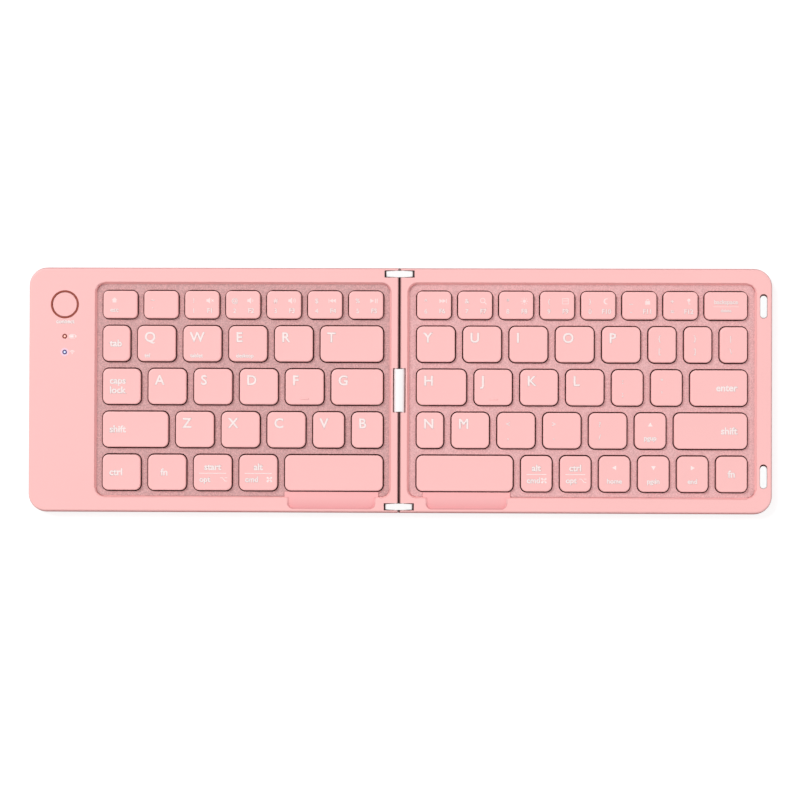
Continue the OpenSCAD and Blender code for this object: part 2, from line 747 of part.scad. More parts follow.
module battery() {
    color(steel) translate([-bay_far + battery_room, -bay_y + 2 * bay_room, z_floor + split])
        cube([battery_w, battery_len, battery_t]);
}

module main_board() {
    color(board_green) difference() {
        union() {
            translate([-bay_far + 0.3, board_front, z_board])
                cube([bay_far - bay_near - 0.6, board_len, board_t]);
            translate([-button_x - 2.2, button_y - 2.2, z_board + board_t - 0.1])
                cube([4.4, 4.4, 0.9]);
            for (y = [charge_light_y, link_light_y])
                translate([-button_x - 0.6, y - 0.4, z_board + board_t - 0.1]) cube([1.2, 0.8, 0.6]);
            translate([-bay_near - 8, board_front + 3, z_board + board_t - 0.1]) cube([5, 5, 1]);
        }
        translate([-half_len - 1, socket_y - socket_w / 2 - 0.2, z_board - over])
            cube([socket_l + 1.8, socket_w + 0.4, board_t + 2 * over]);
    }
}

module charging_socket() {
    color(steel) translate([-half_len + 0.4 + socket_l / 2, socket_y, z_socket])
        difference() {
            rotate([90, 0, 90]) linear_extrude(socket_l, center = true)
                slot_shape(socket_w, socket_h);
            translate([-over, 0, 0]) difference() {
                rotate([90, 0, 90]) linear_extrude(socket_l - 0.6, center = true)
                    slot_shape(socket_w - 0.6, socket_h - 0.6);
                translate([-socket_l / 2 + 1, -3.35, -0.35]) cube([socket_l, 6.7, 0.7]);
            }
        }
}

module power_button() {
    color(pink) translate([-button_x, button_y, 0]) {
        translate([0, 0, z_bay_top - 0.5])
            rounded_disc(button_d, z_top - 0.1 - z_bay_top + 0.5, 0.3);
        translate([0, 0, z_bay_top - 0.5]) cylinder(d = button_d + 1.4, h = 0.4);
        translate([0, 0, z_board + board_t + 0.85 + button_travel])
            cylinder(d = 2.4, h = z_bay_top - 0.3 - z_board - board_t - 0.85 - button_travel);
    }
}

// Disc whose top edge is rounded
module rounded_disc(d, h, edge) {
    rotate_extrude() {
        square([d / 2, h - edge]);
        square([d / 2 - edge, h]);
        translate([d / 2 - edge, h - edge]) circle(edge);
    }
}

module power_ring() {
    inner = button_d / 2 + button_gap;
    color(copper) translate([-button_x, button_y, z_top - top_plate_t / 2])
        rotate_extrude() translate([inner, 0])
            square([ring_w, top_plate_t / 2 + ring_proud]);
}

module status_lenses() {
    color("white") for (y = [charge_light_y, link_light_y])
        translate([-button_x, y, z_board + board_t + 0.6])
            rounded_disc(lens_d, z_top + 0.05 - z_board - board_t - 0.6, 0.25);
}

module left_feet() { mirror([1, 0, 0]) rubber_feet(); }
module left_screws() { mirror([1, 0, 0]) case_screws(); }

bumper_seat = 1;

module right_bottom_case() { color(pink) bottom_shell(block_right, -ledge_reach); }

module right_top_case() {
    color(pink) difference() {
        top_shell(block_right, right_scoop);
        for (s = [-1, 1]) translate([bumper_x, s * bumper_y, z_top - bumper_seat])
            linear_extrude(bumper_seat + over) rotate(90) slot_shape(bumper_len, bumper_w);
    }
}

module right_key_deck() { color(deck_pink) deck_plate(block_right, 1, right_keys); }
module right_backplate() { color(steel) switch_plate(block_right); }
module right_membrane() { color(graphite) dome_sheet(block_right, 1, right_keys); }
module right_scissors() { color("white") scissor_pairs(right_keys); }
module right_feet() { rubber_feet(); }
module right_screws() { case_screws(); }

module closing_bumpers() {
    fit = 0.1;
    rear_gap = 0.6;
    color("white") for (s = [-1, 1])
        translate([bumper_x, s * bumper_y - rear_gap / 2, z_top - bumper_seat]) rounded_bar(
            bumper_len - 2 * fit - rear_gap, bumper_w - 2 * fit, bumper_seat + bumper_proud, 0.5);
}

// Outline of a link from above: straight ends and bowed sides
module link_plan() {
    sag = (link_w - link_end_w) / 2;
    bow = (pow(link_len / 2, 2) + pow(sag, 2)) / (2 * sag);
    intersection() {
        square([link_len, link_w], center = true);
        translate([0, link_w / 2 - bow]) circle(bow, $fn = 360);
        translate([0, bow - link_w / 2]) circle(bow, $fn = 360);
    }
}

module hinge_links() {
    round_r = 0.8;
    color(legend_white) for (s = [-1, 1]) translate([0, s * link_y, 0]) difference() {
        intersection() {
            translate([0, 0, z_link]) linear_extrude(link_h) link_plan();
            rotate([90, 0, 0]) linear_extrude(link_w + 1, center = true)
                translate([0, z_link + link_h / 2]) {
                    square([link_len - 2 * round_r, link_h], center = true);
                    square([link_len, link_h - 2 * round_r], center = true);
                    for (x = [-1, 1], z = [-1, 1])
                        translate([x * (link_len / 2 - round_r), z * (link_h / 2 - round_r)])
                            circle(round_r);
                }
        }
        for (x = [-1, 1]) translate([x * pivot_half, 0, z_pivot]) rotate([90, 0, 0])
            cylinder(d = pin_d, h = link_w + 1, center = true);
    }
}

module hinge_pins() {
    color(steel) for (x = [-1, 1]) {
        for (s = [-1, 1])
            translate([x * pivot_half, s * (pin_in + pin_out) / 2, z_pivot]) rotate([90, 0, 0])
                cylinder(d = pin_d, h = pin_out - pin_in, center = true);
        translate([x * pivot_half, 0, z_pivot]) rotate([90, 0, 0])
            cylinder(d = guard_pin_d, h = 2 * (notch_y + pin_grip), center = true);
    }
}

module cable_guard() {
    bow = (pow(guard_w / 2, 2) + pow(guard_crown, 2)) / (2 * guard_crown);
    color(legend_white) difference() {
        rotate([90, 0, 0]) linear_extrude(guard_len, center = true) difference() {
            intersection() {
                translate([-guard_w / 2, z_guard]) square([guard_w, guard_h]);
                translate([0, z_guard + guard_h - bow]) circle(bow, $fn = 96);
            }
            for (x = [-1, 1]) translate([x * pivot_half, z_pivot]) circle(d = guard_pin_d);
        }
        translate([-guard_w, -flex_room / 2, z_flex - flex_slot_h / 2])
            cube([2 * guard_w, flex_room, flex_slot_h]);
    }
}

module flex_cable() {
    z_end = z_membrane + membrane_t + 0.05;
    half = [[0, z_flex - flex_t / 2], [guard_w / 2, z_flex - flex_t / 2],
        [tongue_x - tongue_t, z_part + 0.6], [tongue_x + 0.3, z_part + 0.3],
        [tongue_x + 2.6, z_end], [flex_end, z_end]];
    full = concat([for (i = [len(half) - 1:-1:1]) [-half[i].x, half[i].y]], half);
    color(graphite) rotate([90, 0, 0]) linear_extrude(flex_w, center = true)
        polygon(concat(full, [for (i = [len(full) - 1:-1:0]) full[i] + [0, flex_t]]));
}

left_bottom_case();
left_top_case();
left_key_deck();
left_backplate();
left_membrane();
left_scissors();
battery();
main_board();
charging_socket();
power_button();
power_ring();
status_lenses();
left_feet();
left_screws();
right_bottom_case();
right_top_case();
right_key_deck();
right_backplate();
right_membrane();
right_scissors();
right_feet();
right_screws();
closing_bumpers();
hinge_links();
hinge_pins();
cable_guard();
flex_cable();
for (name = key_nodes) keys_of(name);
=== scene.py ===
# %% [markdown]
# # A folding keyboard, dressed for its portrait
# The solid model of the keyboard is loaded first and never moved. It says where every shell, key and
# hinge piece sits. This lesson then gives each visible piece its finish, models the keycaps, their
# printed legends and the status lights by hand, and sets the light and the camera.

# %% Load the frame
import json
import math

import bmesh
import bpy
from mathutils import Euler, Matrix, Vector

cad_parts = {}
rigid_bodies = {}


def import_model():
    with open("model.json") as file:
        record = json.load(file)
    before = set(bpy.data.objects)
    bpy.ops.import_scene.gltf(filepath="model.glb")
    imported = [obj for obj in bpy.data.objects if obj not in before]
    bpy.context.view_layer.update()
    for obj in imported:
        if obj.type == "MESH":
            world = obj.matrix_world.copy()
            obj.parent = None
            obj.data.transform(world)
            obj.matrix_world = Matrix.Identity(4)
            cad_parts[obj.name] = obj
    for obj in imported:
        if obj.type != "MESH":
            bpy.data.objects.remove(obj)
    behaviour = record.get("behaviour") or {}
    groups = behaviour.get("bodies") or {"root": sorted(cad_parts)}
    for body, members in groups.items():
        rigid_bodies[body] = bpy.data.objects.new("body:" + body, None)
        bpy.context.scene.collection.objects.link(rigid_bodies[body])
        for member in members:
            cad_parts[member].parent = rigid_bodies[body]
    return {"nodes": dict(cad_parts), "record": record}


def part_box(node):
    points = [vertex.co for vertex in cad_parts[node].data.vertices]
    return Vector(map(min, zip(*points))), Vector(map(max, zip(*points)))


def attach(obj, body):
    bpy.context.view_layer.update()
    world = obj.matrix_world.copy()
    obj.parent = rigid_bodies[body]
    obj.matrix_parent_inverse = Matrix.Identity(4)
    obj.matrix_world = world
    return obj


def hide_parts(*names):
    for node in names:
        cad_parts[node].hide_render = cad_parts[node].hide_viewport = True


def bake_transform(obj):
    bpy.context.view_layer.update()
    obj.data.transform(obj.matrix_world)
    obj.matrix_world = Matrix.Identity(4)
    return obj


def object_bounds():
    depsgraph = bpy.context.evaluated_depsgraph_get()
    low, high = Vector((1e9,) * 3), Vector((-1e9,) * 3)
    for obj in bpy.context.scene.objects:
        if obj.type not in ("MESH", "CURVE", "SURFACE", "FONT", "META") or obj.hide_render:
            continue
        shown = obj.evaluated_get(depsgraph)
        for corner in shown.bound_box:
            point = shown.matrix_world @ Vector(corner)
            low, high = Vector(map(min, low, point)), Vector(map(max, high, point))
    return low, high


for leftover in list(bpy.data.objects):
    bpy.data.objects.remove(leftover)
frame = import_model()
cad_low, cad_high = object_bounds()
mm = 0.001
print("solid model", [round(v / mm, 1) for v in cad_high - cad_low], "mm")

# %% [markdown]
# ## Camera
# The keyboard was photographed from above with a long lens, which keeps the key walls from leaning
# outwards. The camera hung a little to the right of the fold and was turned by a fraction of a
# degree, so the right half looks slightly larger, and the front edge falls towards the right.

# %% Camera over the keys
PICTURE_WIDTH = 327.3 * mm
CAMERA_HEIGHT = 1.15
LEAN = math.radians(1.4)
PITCH = math.radians(0.8)
ROLL = math.radians(0.2)
case_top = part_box("left_top_case")[1].z
aim = Vector((0.35 * mm, -3.95 * mm, case_top))
turn = Euler((PITCH, LEAN, ROLL)).to_matrix()
bpy.ops.object.camera_add(location=aim + turn @ Vector((0, 0, CAMERA_HEIGHT)),
                          rotation=(PITCH, LEAN, ROLL))
camera = bpy.context.object
camera.name = "camera"
camera.data.lens = camera.data.sensor_width * CAMERA_HEIGHT / PICTURE_WIDTH
camera.data.clip_end = 20
bpy.context.scene.camera = camera
print("lens", round(camera.data.lens, 1), "mm")

# %% [markdown]
# ## Small helpers
# Every operator works on what is selected, so `only` clears the selection first. `settle` bakes an
# object's place into its mesh, which keeps patterns in Object coordinates true to size.

# %% Helpers for selecting and placing
def only(*pieces):
    bpy.ops.object.select_all(action="DESELECT")
    for piece in pieces:
        piece.select_set(True)
    bpy.context.view_layer.objects.active = pieces[0]


def settle(piece):
    only(piece)
    bpy.ops.object.transform_apply(location=True, rotation=True, scale=True)


def join(pieces, name):
    only(*pieces)
    if len(pieces) > 1:
        bpy.ops.object.join()
    joined = bpy.context.object
    joined.name = name
    joined.data.name = name
    return joined


def apply_modifiers(piece):
    only(piece)
    for modifier in list(piece.modifiers):
        bpy.ops.object.modifier_apply(modifier=modifier.name)


def dress(piece, finish, body):
    piece.data.materials.clear()
    piece.data.materials.append(finish)
    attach(piece, body)


# %% [markdown]
# ## Plastic finishes
# Moulded plastic is never one flat colour. A slow noise shifts the pigment a little, a fine noise
# is the spark texture of the mould, and it tilts the surface through a Bump node. One function makes
# them all, because the real pieces differ only in colour, grain and gloss.

# %% A recipe for moulded plastic
def moulded(name, colour, roughness, grain, grain_depth, mottle=0.02, gloss=0.0):
    finish = bpy.data.materials.new(name)
    finish.use_nodes = True
    tree = finish.node_tree
    shader = tree.nodes["Principled BSDF"]
    shader.inputs["Coat Weight"].default_value = gloss
    shader.inputs["Coat Roughness"].default_value = 0.12
    place = tree.nodes.new("ShaderNodeTexCoord")
    slow = tree.nodes.new("ShaderNodeTexNoise")
    slow.inputs["Scale"].default_value = 45
    slow.inputs["Detail"].default_value = 3
    fine = tree.nodes.new("ShaderNodeTexNoise")
    fine.inputs["Scale"].default_value = grain
    fine.inputs["Detail"].default_value = 4
    fine.inputs["Roughness"].default_value = 0.6
    for noise in (slow, fine):
        tree.links.new(place.outputs["Object"], noise.inputs["Vector"])
    tint = tree.nodes.new("ShaderNodeMix")
    tint.data_type = "RGBA"
    tint.inputs["A"].default_value = [c * (1 - mottle) for c in colour] + [1]
    tint.inputs["B"].default_value = [min(1, c * (1 + mottle)) for c in colour] + [1]
    tree.links.new(slow.outputs["Fac"], tint.inputs["Factor"])
    tree.links.new(tint.outputs["Result"], shader.inputs["Base Color"])
    wear = tree.nodes.new("ShaderNodeMapRange")
    wear.inputs["To Min"].default_value = roughness - 0.05
    wear.inputs["To Max"].default_value = roughness + 0.05
    tree.links.new(slow.outputs["Fac"], wear.inputs["Value"])
    tree.links.new(wear.outputs["Result"], shader.inputs["Roughness"])
    bump = tree.nodes.new("ShaderNodeBump")
    bump.inputs["Strength"].default_value = 0.6
    bump.inputs["Distance"].default_value = grain_depth
    tree.links.new(fine.outputs["Fac"], bump.inputs["Height"])
    tree.links.new(bump.outputs["Normal"], shader.inputs["Normal"])
    return finish


# %% The keyboard's plastics and rubbers
PINK = (0.985, 0.533, 0.522)
case_pink = moulded("case_pink", PINK, 0.42, 5200, 0.006 * mm, 0.012)
key_pink = moulded("key_pink", PINK, 0.4, 6500, 0.004 * mm, 0.01)
switch_white = moulded("switch_white", (0.85, 0.84, 0.82), 0.4, 3000, 0.002 * mm)
bumper_white = moulded("bumper_white", (0.96, 0.97, 0.97), 0.5, 4000, 0.003 * mm, 0.01)
foot_rubber = moulded("foot_rubber", (0.035, 0.034, 0.036), 0.75, 3500, 0.02 * mm, 0.2)
# The switch sheet's colour is partly its own dark red rubber and partly painted shade: it is darkened so the
# gaps round the keys read as dark lines.
membrane_rubber_and_shade = moulded("membrane_rubber_and_shade", (0.11, 0.014, 0.013), 0.55, 2500, 0.01 * mm, 0.1)
legend_ink = moulded("legend_ink", (0.985, 0.83, 0.815), 0.5, 7000, 0.002 * mm, 0.015)
faint_ink = moulded("faint_ink", (0.97, 0.76, 0.745), 0.5, 7000, 0.002 * mm, 0.015)

# %% [markdown]
# ## Where light hardly reaches
# The thumb scoops are painted a shade darker than the plate round them, most of all under their front wall,
# and the rounded edges along the fold are painted falling off into a nearly black line: both are painted
# shade. The white hinge links get painted shade towards their ends, and the cable guard towards its
# flanks. A gradient along one axis of the Object coordinates mixes the plastic's own colour with a
# deeper one. The pockets of the bumpers and the hinge links, the walls of the key openings and the
# ledge at the seam get a painted shade of their own, because soft light from all sides would wash
# out lines as thin as these.
# Deep in a gap little is mirrored either, so the finishes down there are dull.

# %% A recipe for a falling shade
def falling_shade(name, near, far, axis, start, end, power=1.0):
    finish = moulded(name, near, 0.42, 5200, 0.006 * mm, 0.012)
    tree = finish.node_tree
    split = tree.nodes.new("ShaderNodeSeparateXYZ")
    tree.links.new(tree.nodes["Texture Coordinate"].outputs["Object"], split.inputs["Vector"])
    size = tree.nodes.new("ShaderNodeMath")
    size.operation = "ABSOLUTE"
    tree.links.new(split.outputs[axis], size.inputs[0])
    fall = tree.nodes.new("ShaderNodeMapRange")
    fall.inputs["From Min"].default_value = start * mm
    fall.inputs["From Max"].default_value = end * mm
    tree.links.new(size.outputs["Value"], fall.inputs["Value"])
    curve = tree.nodes.new("ShaderNodeMath")
    curve.operation = "POWER"
    curve.inputs[1].default_value = power
    tree.links.new(fall.outputs["Result"], curve.inputs[0])
    tint = tree.nodes.new("ShaderNodeMix")
    tint.data_type = "RGBA"
    tint.inputs["A"].default_value = (*near, 1)
    tint.inputs["B"].default_value = (*far, 1)
    tree.links.new(curve.outputs["Value"], tint.inputs["Factor"])
    tree.links.new(tint.outputs["Result"], tree.nodes["Principled BSDF"].inputs["Base Color"])
    return finish


def deeper(red, green, blue):
    return [c * share for c, share in zip(PINK, (red, green, blue))]


def shadowed(name, colour, roughness=0.6):
    return moulded(name, colour, roughness, 5200, 0.006 * mm, 0.012)


# %% Finishes for gaps, pockets and hollows
# Painted shade: the scoops darken towards their front wall.
scoop_painted_shade = falling_shade("scoop_painted_shade", deeper(0.96, 0.87, 0.89), deeper(0.82, 0.63, 0.66), "Y",
                           43.5, 48.6, 1.6)
HINGE_WHITE = (0.97, 0.95, 0.95)
# Painted shade: the hinge links darken towards their ends.
link_white_end_shade = falling_shade("link_white_end_shade", HINGE_WHITE, (0.4, 0.28, 0.28), "X", 4.9, 5.65, 1.6)
# Painted shade: the cable guard darkens towards its flanks, as a rounded bar would in light.
guard_white_side_shade = falling_shade("guard_white_side_shade", HINGE_WHITE, (0.33, 0.24, 0.24), "X", 0.9, 2.4, 2.6)
# Painted shade on the ledge where the bottom case meets the top case.
seam_painted_shade = shadowed("seam_painted_shade", deeper(0.68, 0.83, 0.85), 0.5)
opening_shade = shadowed("opening_shade", (0.17, 0.035, 0.03))
pocket_shade = shadowed("pocket_shade", (0.16, 0.06, 0.05))
for dull in (membrane_rubber_and_shade, opening_shade, pocket_shade):
    dull.node_tree.nodes["Principled BSDF"].inputs["Specular IOR Level"].default_value = 0.08
# Painted shade: the edges along the fold darken to nearly black at the gap.
fold_painted_shade = falling_shade("fold_painted_shade", (0.03, 0.006, 0.006), PINK, "X", 0.15, 1.05, 0.8)

# %% [markdown]
# ## The grained deck
# Under the keys lies a plate with a coarse spark-eroded grain. In the picture it glitters in small
# light and dark specks of about 0.4 mm, so here the grain also drives the colour.

# %% A recipe for the deck's grain
def grained_deck(name, dark, light):
    finish = moulded(name, dark, 0.6, 2600, 0.08 * mm, 0.03)
    tree = finish.node_tree
    shader = tree.nodes["Principled BSDF"]
    place = tree.nodes["Texture Coordinate"]
    specks = tree.nodes.new("ShaderNodeTexNoise")
    specks.inputs["Scale"].default_value = 2300
    specks.inputs["Detail"].default_value = 1
    tree.links.new(place.outputs["Object"], specks.inputs["Vector"])
    contrast = tree.nodes.new("ShaderNodeMapRange")
    contrast.inputs["From Min"].default_value = 0.36
    contrast.inputs["From Max"].default_value = 0.66
    tree.links.new(specks.outputs["Fac"], contrast.inputs["Value"])
    tint = tree.nodes.new("ShaderNodeMix")
    tint.data_type = "RGBA"
    tint.inputs["A"].default_value = (*dark, 1)
    tint.inputs["B"].default_value = (*light, 1)
    tree.links.new(contrast.outputs["Result"], tint.inputs["Factor"])
    tree.links.new(tint.outputs["Result"], shader.inputs["Base Color"])
    return finish


# The two decks are one plastic: the left one is painted darker and greyer as painted shade, the right one
# lighter and pinker as painted light, because the two halves caught the lamp differently.
left_deck_grain_shaded = grained_deck("left_deck_grain_shaded", (0.51, 0.295, 0.295), (0.715, 0.42, 0.415))
right_deck_grain_lit = grained_deck("right_deck_grain_lit", (0.655, 0.37, 0.372), (0.825, 0.49, 0.492))

# %% [markdown]
# ## Metal, film and light
# The switch plates, pins and screws are steel with a drawn grain along X. The thin ring round the
# button is a burnt copper colour. The two lights glow softly, one of them blue.

# %% A recipe for drawn metal
def drawn_metal(name, colour, roughness):
    finish = moulded(name, colour, roughness, 1, 0.004 * mm, 0.05)
    tree = finish.node_tree
    shader = tree.nodes["Principled BSDF"]
    shader.inputs["Metallic"].default_value = 1
    lay = tree.nodes.new("ShaderNodeMapping")
    lay.inputs["Scale"].default_value = (60, 2500, 2500)
    tree.links.new(tree.nodes["Texture Coordinate"].outputs["Object"], lay.inputs["Vector"])
    tree.links.new(lay.outputs["Vector"], tree.nodes["Noise Texture.001"].inputs["Vector"])
    return finish


def glowing(name, colour, glow, strength):
    finish = moulded(name, colour, 0.2, 3000, 0.001 * mm, 0.02, 0.8)
    shader = finish.node_tree.nodes["Principled BSDF"]
    shader.inputs["Emission Color"].default_value = (*glow, 1)
    shader.inputs["Emission Strength"].default_value = strength
    return finish


steel = drawn_metal("steel", (0.62, 0.62, 0.64), 0.32)
cell_foil = drawn_metal("cell_foil", (0.6, 0.6, 0.62), 0.4)
copper_ring = moulded("copper_ring", (0.3, 0.042, 0.018), 0.5, 3000, 0.001 * mm, 0.05)
# A painted glow: the lilac disc round the wireless light stands for its blue light shining through the plastic.
halo_painted_glow = moulded("halo_painted_glow", (0.92, 0.62, 0.73), 0.5, 5200, 0.002 * mm, 0.01)
board_green = moulded("board_green", (0.02, 0.14, 0.07), 0.35, 1500, 0.01 * mm, 0.15, 0.4)
amber_film = moulded("amber_film", (0.3, 0.12, 0.03), 0.3, 1500, 0.002 * mm, 0.1, 0.4)
charge_glow = glowing("charge_glow", (0.9, 0.5, 0.42), (1, 0.5, 0.42), 0.5)
link_glow = glowing("link_glow", (0.6, 0.7, 1), (0.55, 0.68, 1), 0.6)
charge_rim = moulded("charge_rim", (0.22, 0.025, 0.01), 0.6, 3000, 0.001 * mm, 0.05)
link_rim = moulded("link_rim", (0.04, 0.04, 0.16), 0.6, 3000, 0.001 * mm, 0.05)
print(len(bpy.data.materials), "finishes")

# %% [markdown]
# ## Shells with smooth shading
# The solid model's shells have the right shape, but their triangles are loose, so light breaks at
# each one. A merged copy of a shell can be shaded smooth across its rounded edges and kept crisp
# where two faces meet at a real edge. Level faces get an upright normal, so that a large flat top
# doesn't pick up streaks from the small faces round its holes.

# %% Merged copies of the moulded shells
def merged_copy(node, name):
    mesh = frame["nodes"][node].data.copy()
    piece = bpy.data.objects.new(name, mesh)
    bpy.context.scene.collection.objects.link(piece)
    only(piece)
    bpy.ops.object.mode_set(mode="EDIT")
    bpy.ops.mesh.select_all(action="SELECT")
    bpy.ops.mesh.remove_doubles(threshold=0.001 * mm)
    bpy.ops.object.mode_set(mode="OBJECT")
    bpy.ops.object.shade_smooth_by_angle(angle=math.radians(28))
    even = piece.modifiers.new("even", "WEIGHTED_NORMAL")
    even.keep_sharp = True
    even.weight = 100
    apply_modifiers(piece)
    level = [Vector(corner.vector) for corner in piece.data.corner_normals]
    for face in piece.data.polygons:
        if abs(face.normal.z) > 0.9999:
            for i in face.loop_indices:
                level[i] = Vector((0, 0, round(face.normal.z)))
    piece.data.normals_split_custom_set(level)
    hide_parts(node)
    return piece


def shade_faces(piece, finish, test):
    piece.data.materials.append(finish)
    for face in piece.data.polygons:
        corners = [piece.data.vertices[i].co / mm for i in face.vertices]
        if test(corners):
            face.material_index = len(piece.data.materials) - 1


shells = {
    "left_bottom_case": ("left_half", case_pink, "case_plastic"),
    "left_top_case": ("left_half", case_pink, "case_plastic"),
    "left_key_deck": ("left_half", left_deck_grain_shaded, "deck_plastic"),
    "power_button": ("power_push", case_pink, "case_plastic"),
    "power_ring": ("left_half", copper_ring, "copper_ring"),
    "left_feet": ("left_half", foot_rubber, "dark_rubber"),
    "right_bottom_case": ("right_half", case_pink, "case_plastic"),
    "right_top_case": ("right_half", case_pink, "case_plastic"),
    "right_key_deck": ("right_half", right_deck_grain_lit, "deck_plastic"),
    "right_feet": ("right_half", foot_rubber, "dark_rubber"),
    "closing_bumpers": ("right_half", bumper_white, "white_rubber"),
    "hinge_links": ("hinge_link", link_white_end_shade, "white_plastic"),
    "cable_guard": ("hinge_link", guard_white_side_shade, "white_plastic"),
}
TOP = case_top / mm
END, REAR = cad_high.x / mm, cad_high.y / mm
CORNER = 7.5
LEDGE_Z = 2.9
LEDGE_REACH = 0.9
FOLD_EDGE = 1.05


def below_top(corners):
    return min(c.z for c in corners) < TOP - 0.01


def in_bumper_pocket(corners):
    return below_top(corners) and all(
        c.x > 146.6 and 28 < abs(c.y) < 42 and c.z > TOP - 1.6 for c in corners)


def in_scoop(corners):
    return below_top(corners) and all(
        -49.1 < c.y < -41.4 and 8 < abs(c.x) < 47 and c.z > TOP - 2.1 for c in corners)


def in_link_slot(corners):
    return below_top(corners) and all(abs(c.x) < 6.3 and 46.1 < abs(c.y) < 49.2 for c in corners)


def inside_outline(c):
    across, along = abs(c.x) - END + CORNER, abs(c.y) - REAR + CORNER
    if across > 0 and along > 0:
        return CORNER - math.hypot(across, along)
    return min(END - abs(c.x), REAR - abs(c.y))


def on_seam_ledge(corners):
    return all(inside_outline(c) < LEDGE_REACH and c.z > LEDGE_Z for c in corners)


for node, (body, finish, slot) in shells.items():
    shell = merged_copy(node, "smooth_" + node)
    dress(shell, finish, body)
    # The masks below paint shade into the shells: key opening walls, bumper pockets, thumb scoops, link slots,
    # fold edges and the seam ledge get painted shade.
    if node.endswith("key_deck"):
        deck_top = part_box(node)[1].z / mm
        shade_faces(shell, opening_shade, lambda corners: min(c.z for c in corners) < deck_top - 0.01)
    if node.endswith("top_case"):
        shade_faces(shell, pocket_shade, in_bumper_pocket)
        shade_faces(shell, scoop_painted_shade, in_scoop)
    if node.endswith("case"):
        shade_faces(shell, pocket_shade, in_link_slot)
        shade_faces(shell, fold_painted_shade, lambda corners: all(abs(c.x) < FOLD_EDGE for c in corners))
    if node.endswith("bottom_case"):
        shade_faces(shell, seam_painted_shade, on_seam_ledge)
print(len(shells), "smooth shells")

# %% [markdown]
# ## Pieces that stay as they are
# Inside the case most of the solid model's own pieces are simple plates, blocks and pins. They keep
# their mesh and only get their finish.

# %% Finishes for the inner pieces
inner_finishes = {
    "left_backplate": steel, "right_backplate": steel, "hinge_pins": steel,
    "left_screws": steel, "right_screws": steel, "charging_socket": steel,
    "battery": cell_foil, "main_board": board_green,
}
for node, finish in inner_finishes.items():
    mesh = frame["nodes"][node].data
    mesh.materials.clear()
    mesh.materials.append(finish)
print(len(inner_finishes), "inner pieces")

# %% [markdown]
# ## Where the keys are
# Each row fills its block from edge to edge, as on the real keyboard: the gap is given, and the
# keys share what is left in the ratio of their widths. Sizes and places are whole 0.02 mm, which is
# how the mould was cut. The same table says what is printed on each key.

# %% The key layout
KEY_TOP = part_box("key_f")[1].z
KEY_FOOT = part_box("key_f")[0].z
LEFT_BLOCK = (-121.6, 114.9, 3.2)
RIGHT_BLOCK = (7.2, 134.8, 3.4)
BLOCK_REAR = 40.55
BLOCK_DEPTH = 81.7
NUMBER_DEPTH = 11.26
LETTER_DEPTH = 14.52
ROW_DEPTHS = (NUMBER_DEPTH,) + (LETTER_DEPTH,) * 4
ROW_GAP = (BLOCK_DEPTH - sum(ROW_DEPTHS)) / 4
NUMBER_SPACE = 2.85
LETTER = 15.5
NUMBER = 13.96


def letters(row, width=LETTER):
    return [("key_" + c.lower(), width, [("letter", c)]) for c in row]


def number_keys(node, marks):
    return [(node, NUMBER, [("number", *m)]) for m in marks]


def symbols(node, width, pairs):
    return [(node, width, [("pair", *p)]) for p in pairs]


left_rows = [
    [("left_number_keys", NUMBER, [("esc",)]), ("left_number_keys", NUMBER, [("pair", "~", "`")])]
    + number_keys("left_number_keys", [("!", "1", "speaker", "F1"), ("@", "2", "speaker1", "F2"),
                                       ("#", "3", "speaker2", "F3"), ("$", "4", "back", "F4"),
                                       ("%", "5", "play", "F5")]),
    [("left_side_keys", 11, [("word", "tab")])] + letters("QWER") + letters("T", 25.5),
    [("left_side_keys", 15.4, [("caps",)])] + letters("ASDF") + letters("G", 21),
    [("left_side_keys", 26.7, [("word", "shift")])] + letters("ZXC") + letters("VB", 12.6),
    [("left_side_keys", LETTER, [("word", "ctrl")]), ("left_side_keys", LETTER, [("middle", "fn", -1.1)]),
     ("left_side_keys", LETTER, [("split", "start", "opt")]),
     ("left_side_keys", LETTER, [("split", "alt", "cmd")]), ("left_space_key", 39.9, [])],
]
right_rows = [
    number_keys("right_number_keys", [("^", "6", "next", "F6"), ("&", "7", "lens", "F7"),
                                      ("*", "8", "sun", "F8"), ("(", "9", "pages", "F9"),
                                      (")", "0", "moon", "F10"), ("_", "-", "padlock", "F11"),
                                      ("+", "=", "key", "F12")])
    + [("right_number_keys", 17.35, [("backspace",)])],
    letters("YUIOP") + symbols("right_symbol_keys", 11.1, [("{", "["), ("}", "]"), ("|", "\\")]),
    letters("H", 20.4) + letters("JKL") + symbols("right_symbol_keys", 12.7, [(":", ";"), ('"', "'")])
    + [("right_side_keys", 23.4, [("end_word", "enter")])],
    letters("N", 11) + letters("M") + symbols("right_symbol_keys", LETTER, [("<", ","), (">", "."), ("?", "/")])
    + [("right_side_keys", 12.7, [("arrow", 90, "pgup")]),
       ("right_side_keys", 30.1, [("end_word", "shift")])],
    [("right_space_key", 39.9, []), ("right_side_keys", 12.7, [("split", "alt", "cmd")]),
     ("right_side_keys", 12.7, [("split", "ctrl", "opt")]),
     ("right_side_keys", 12.7, [("arrow", 180, "home")]), ("right_side_keys", 12.7, [("arrow", 270, "pgdn")]),
     ("right_side_keys", 12.7, [("arrow", 0, "end")]), ("right_side_keys", 12.7, [("middle", "fn", 0)])],
]


def to_mould(size):
    return math.floor(size * 50 + 0.5) / 50


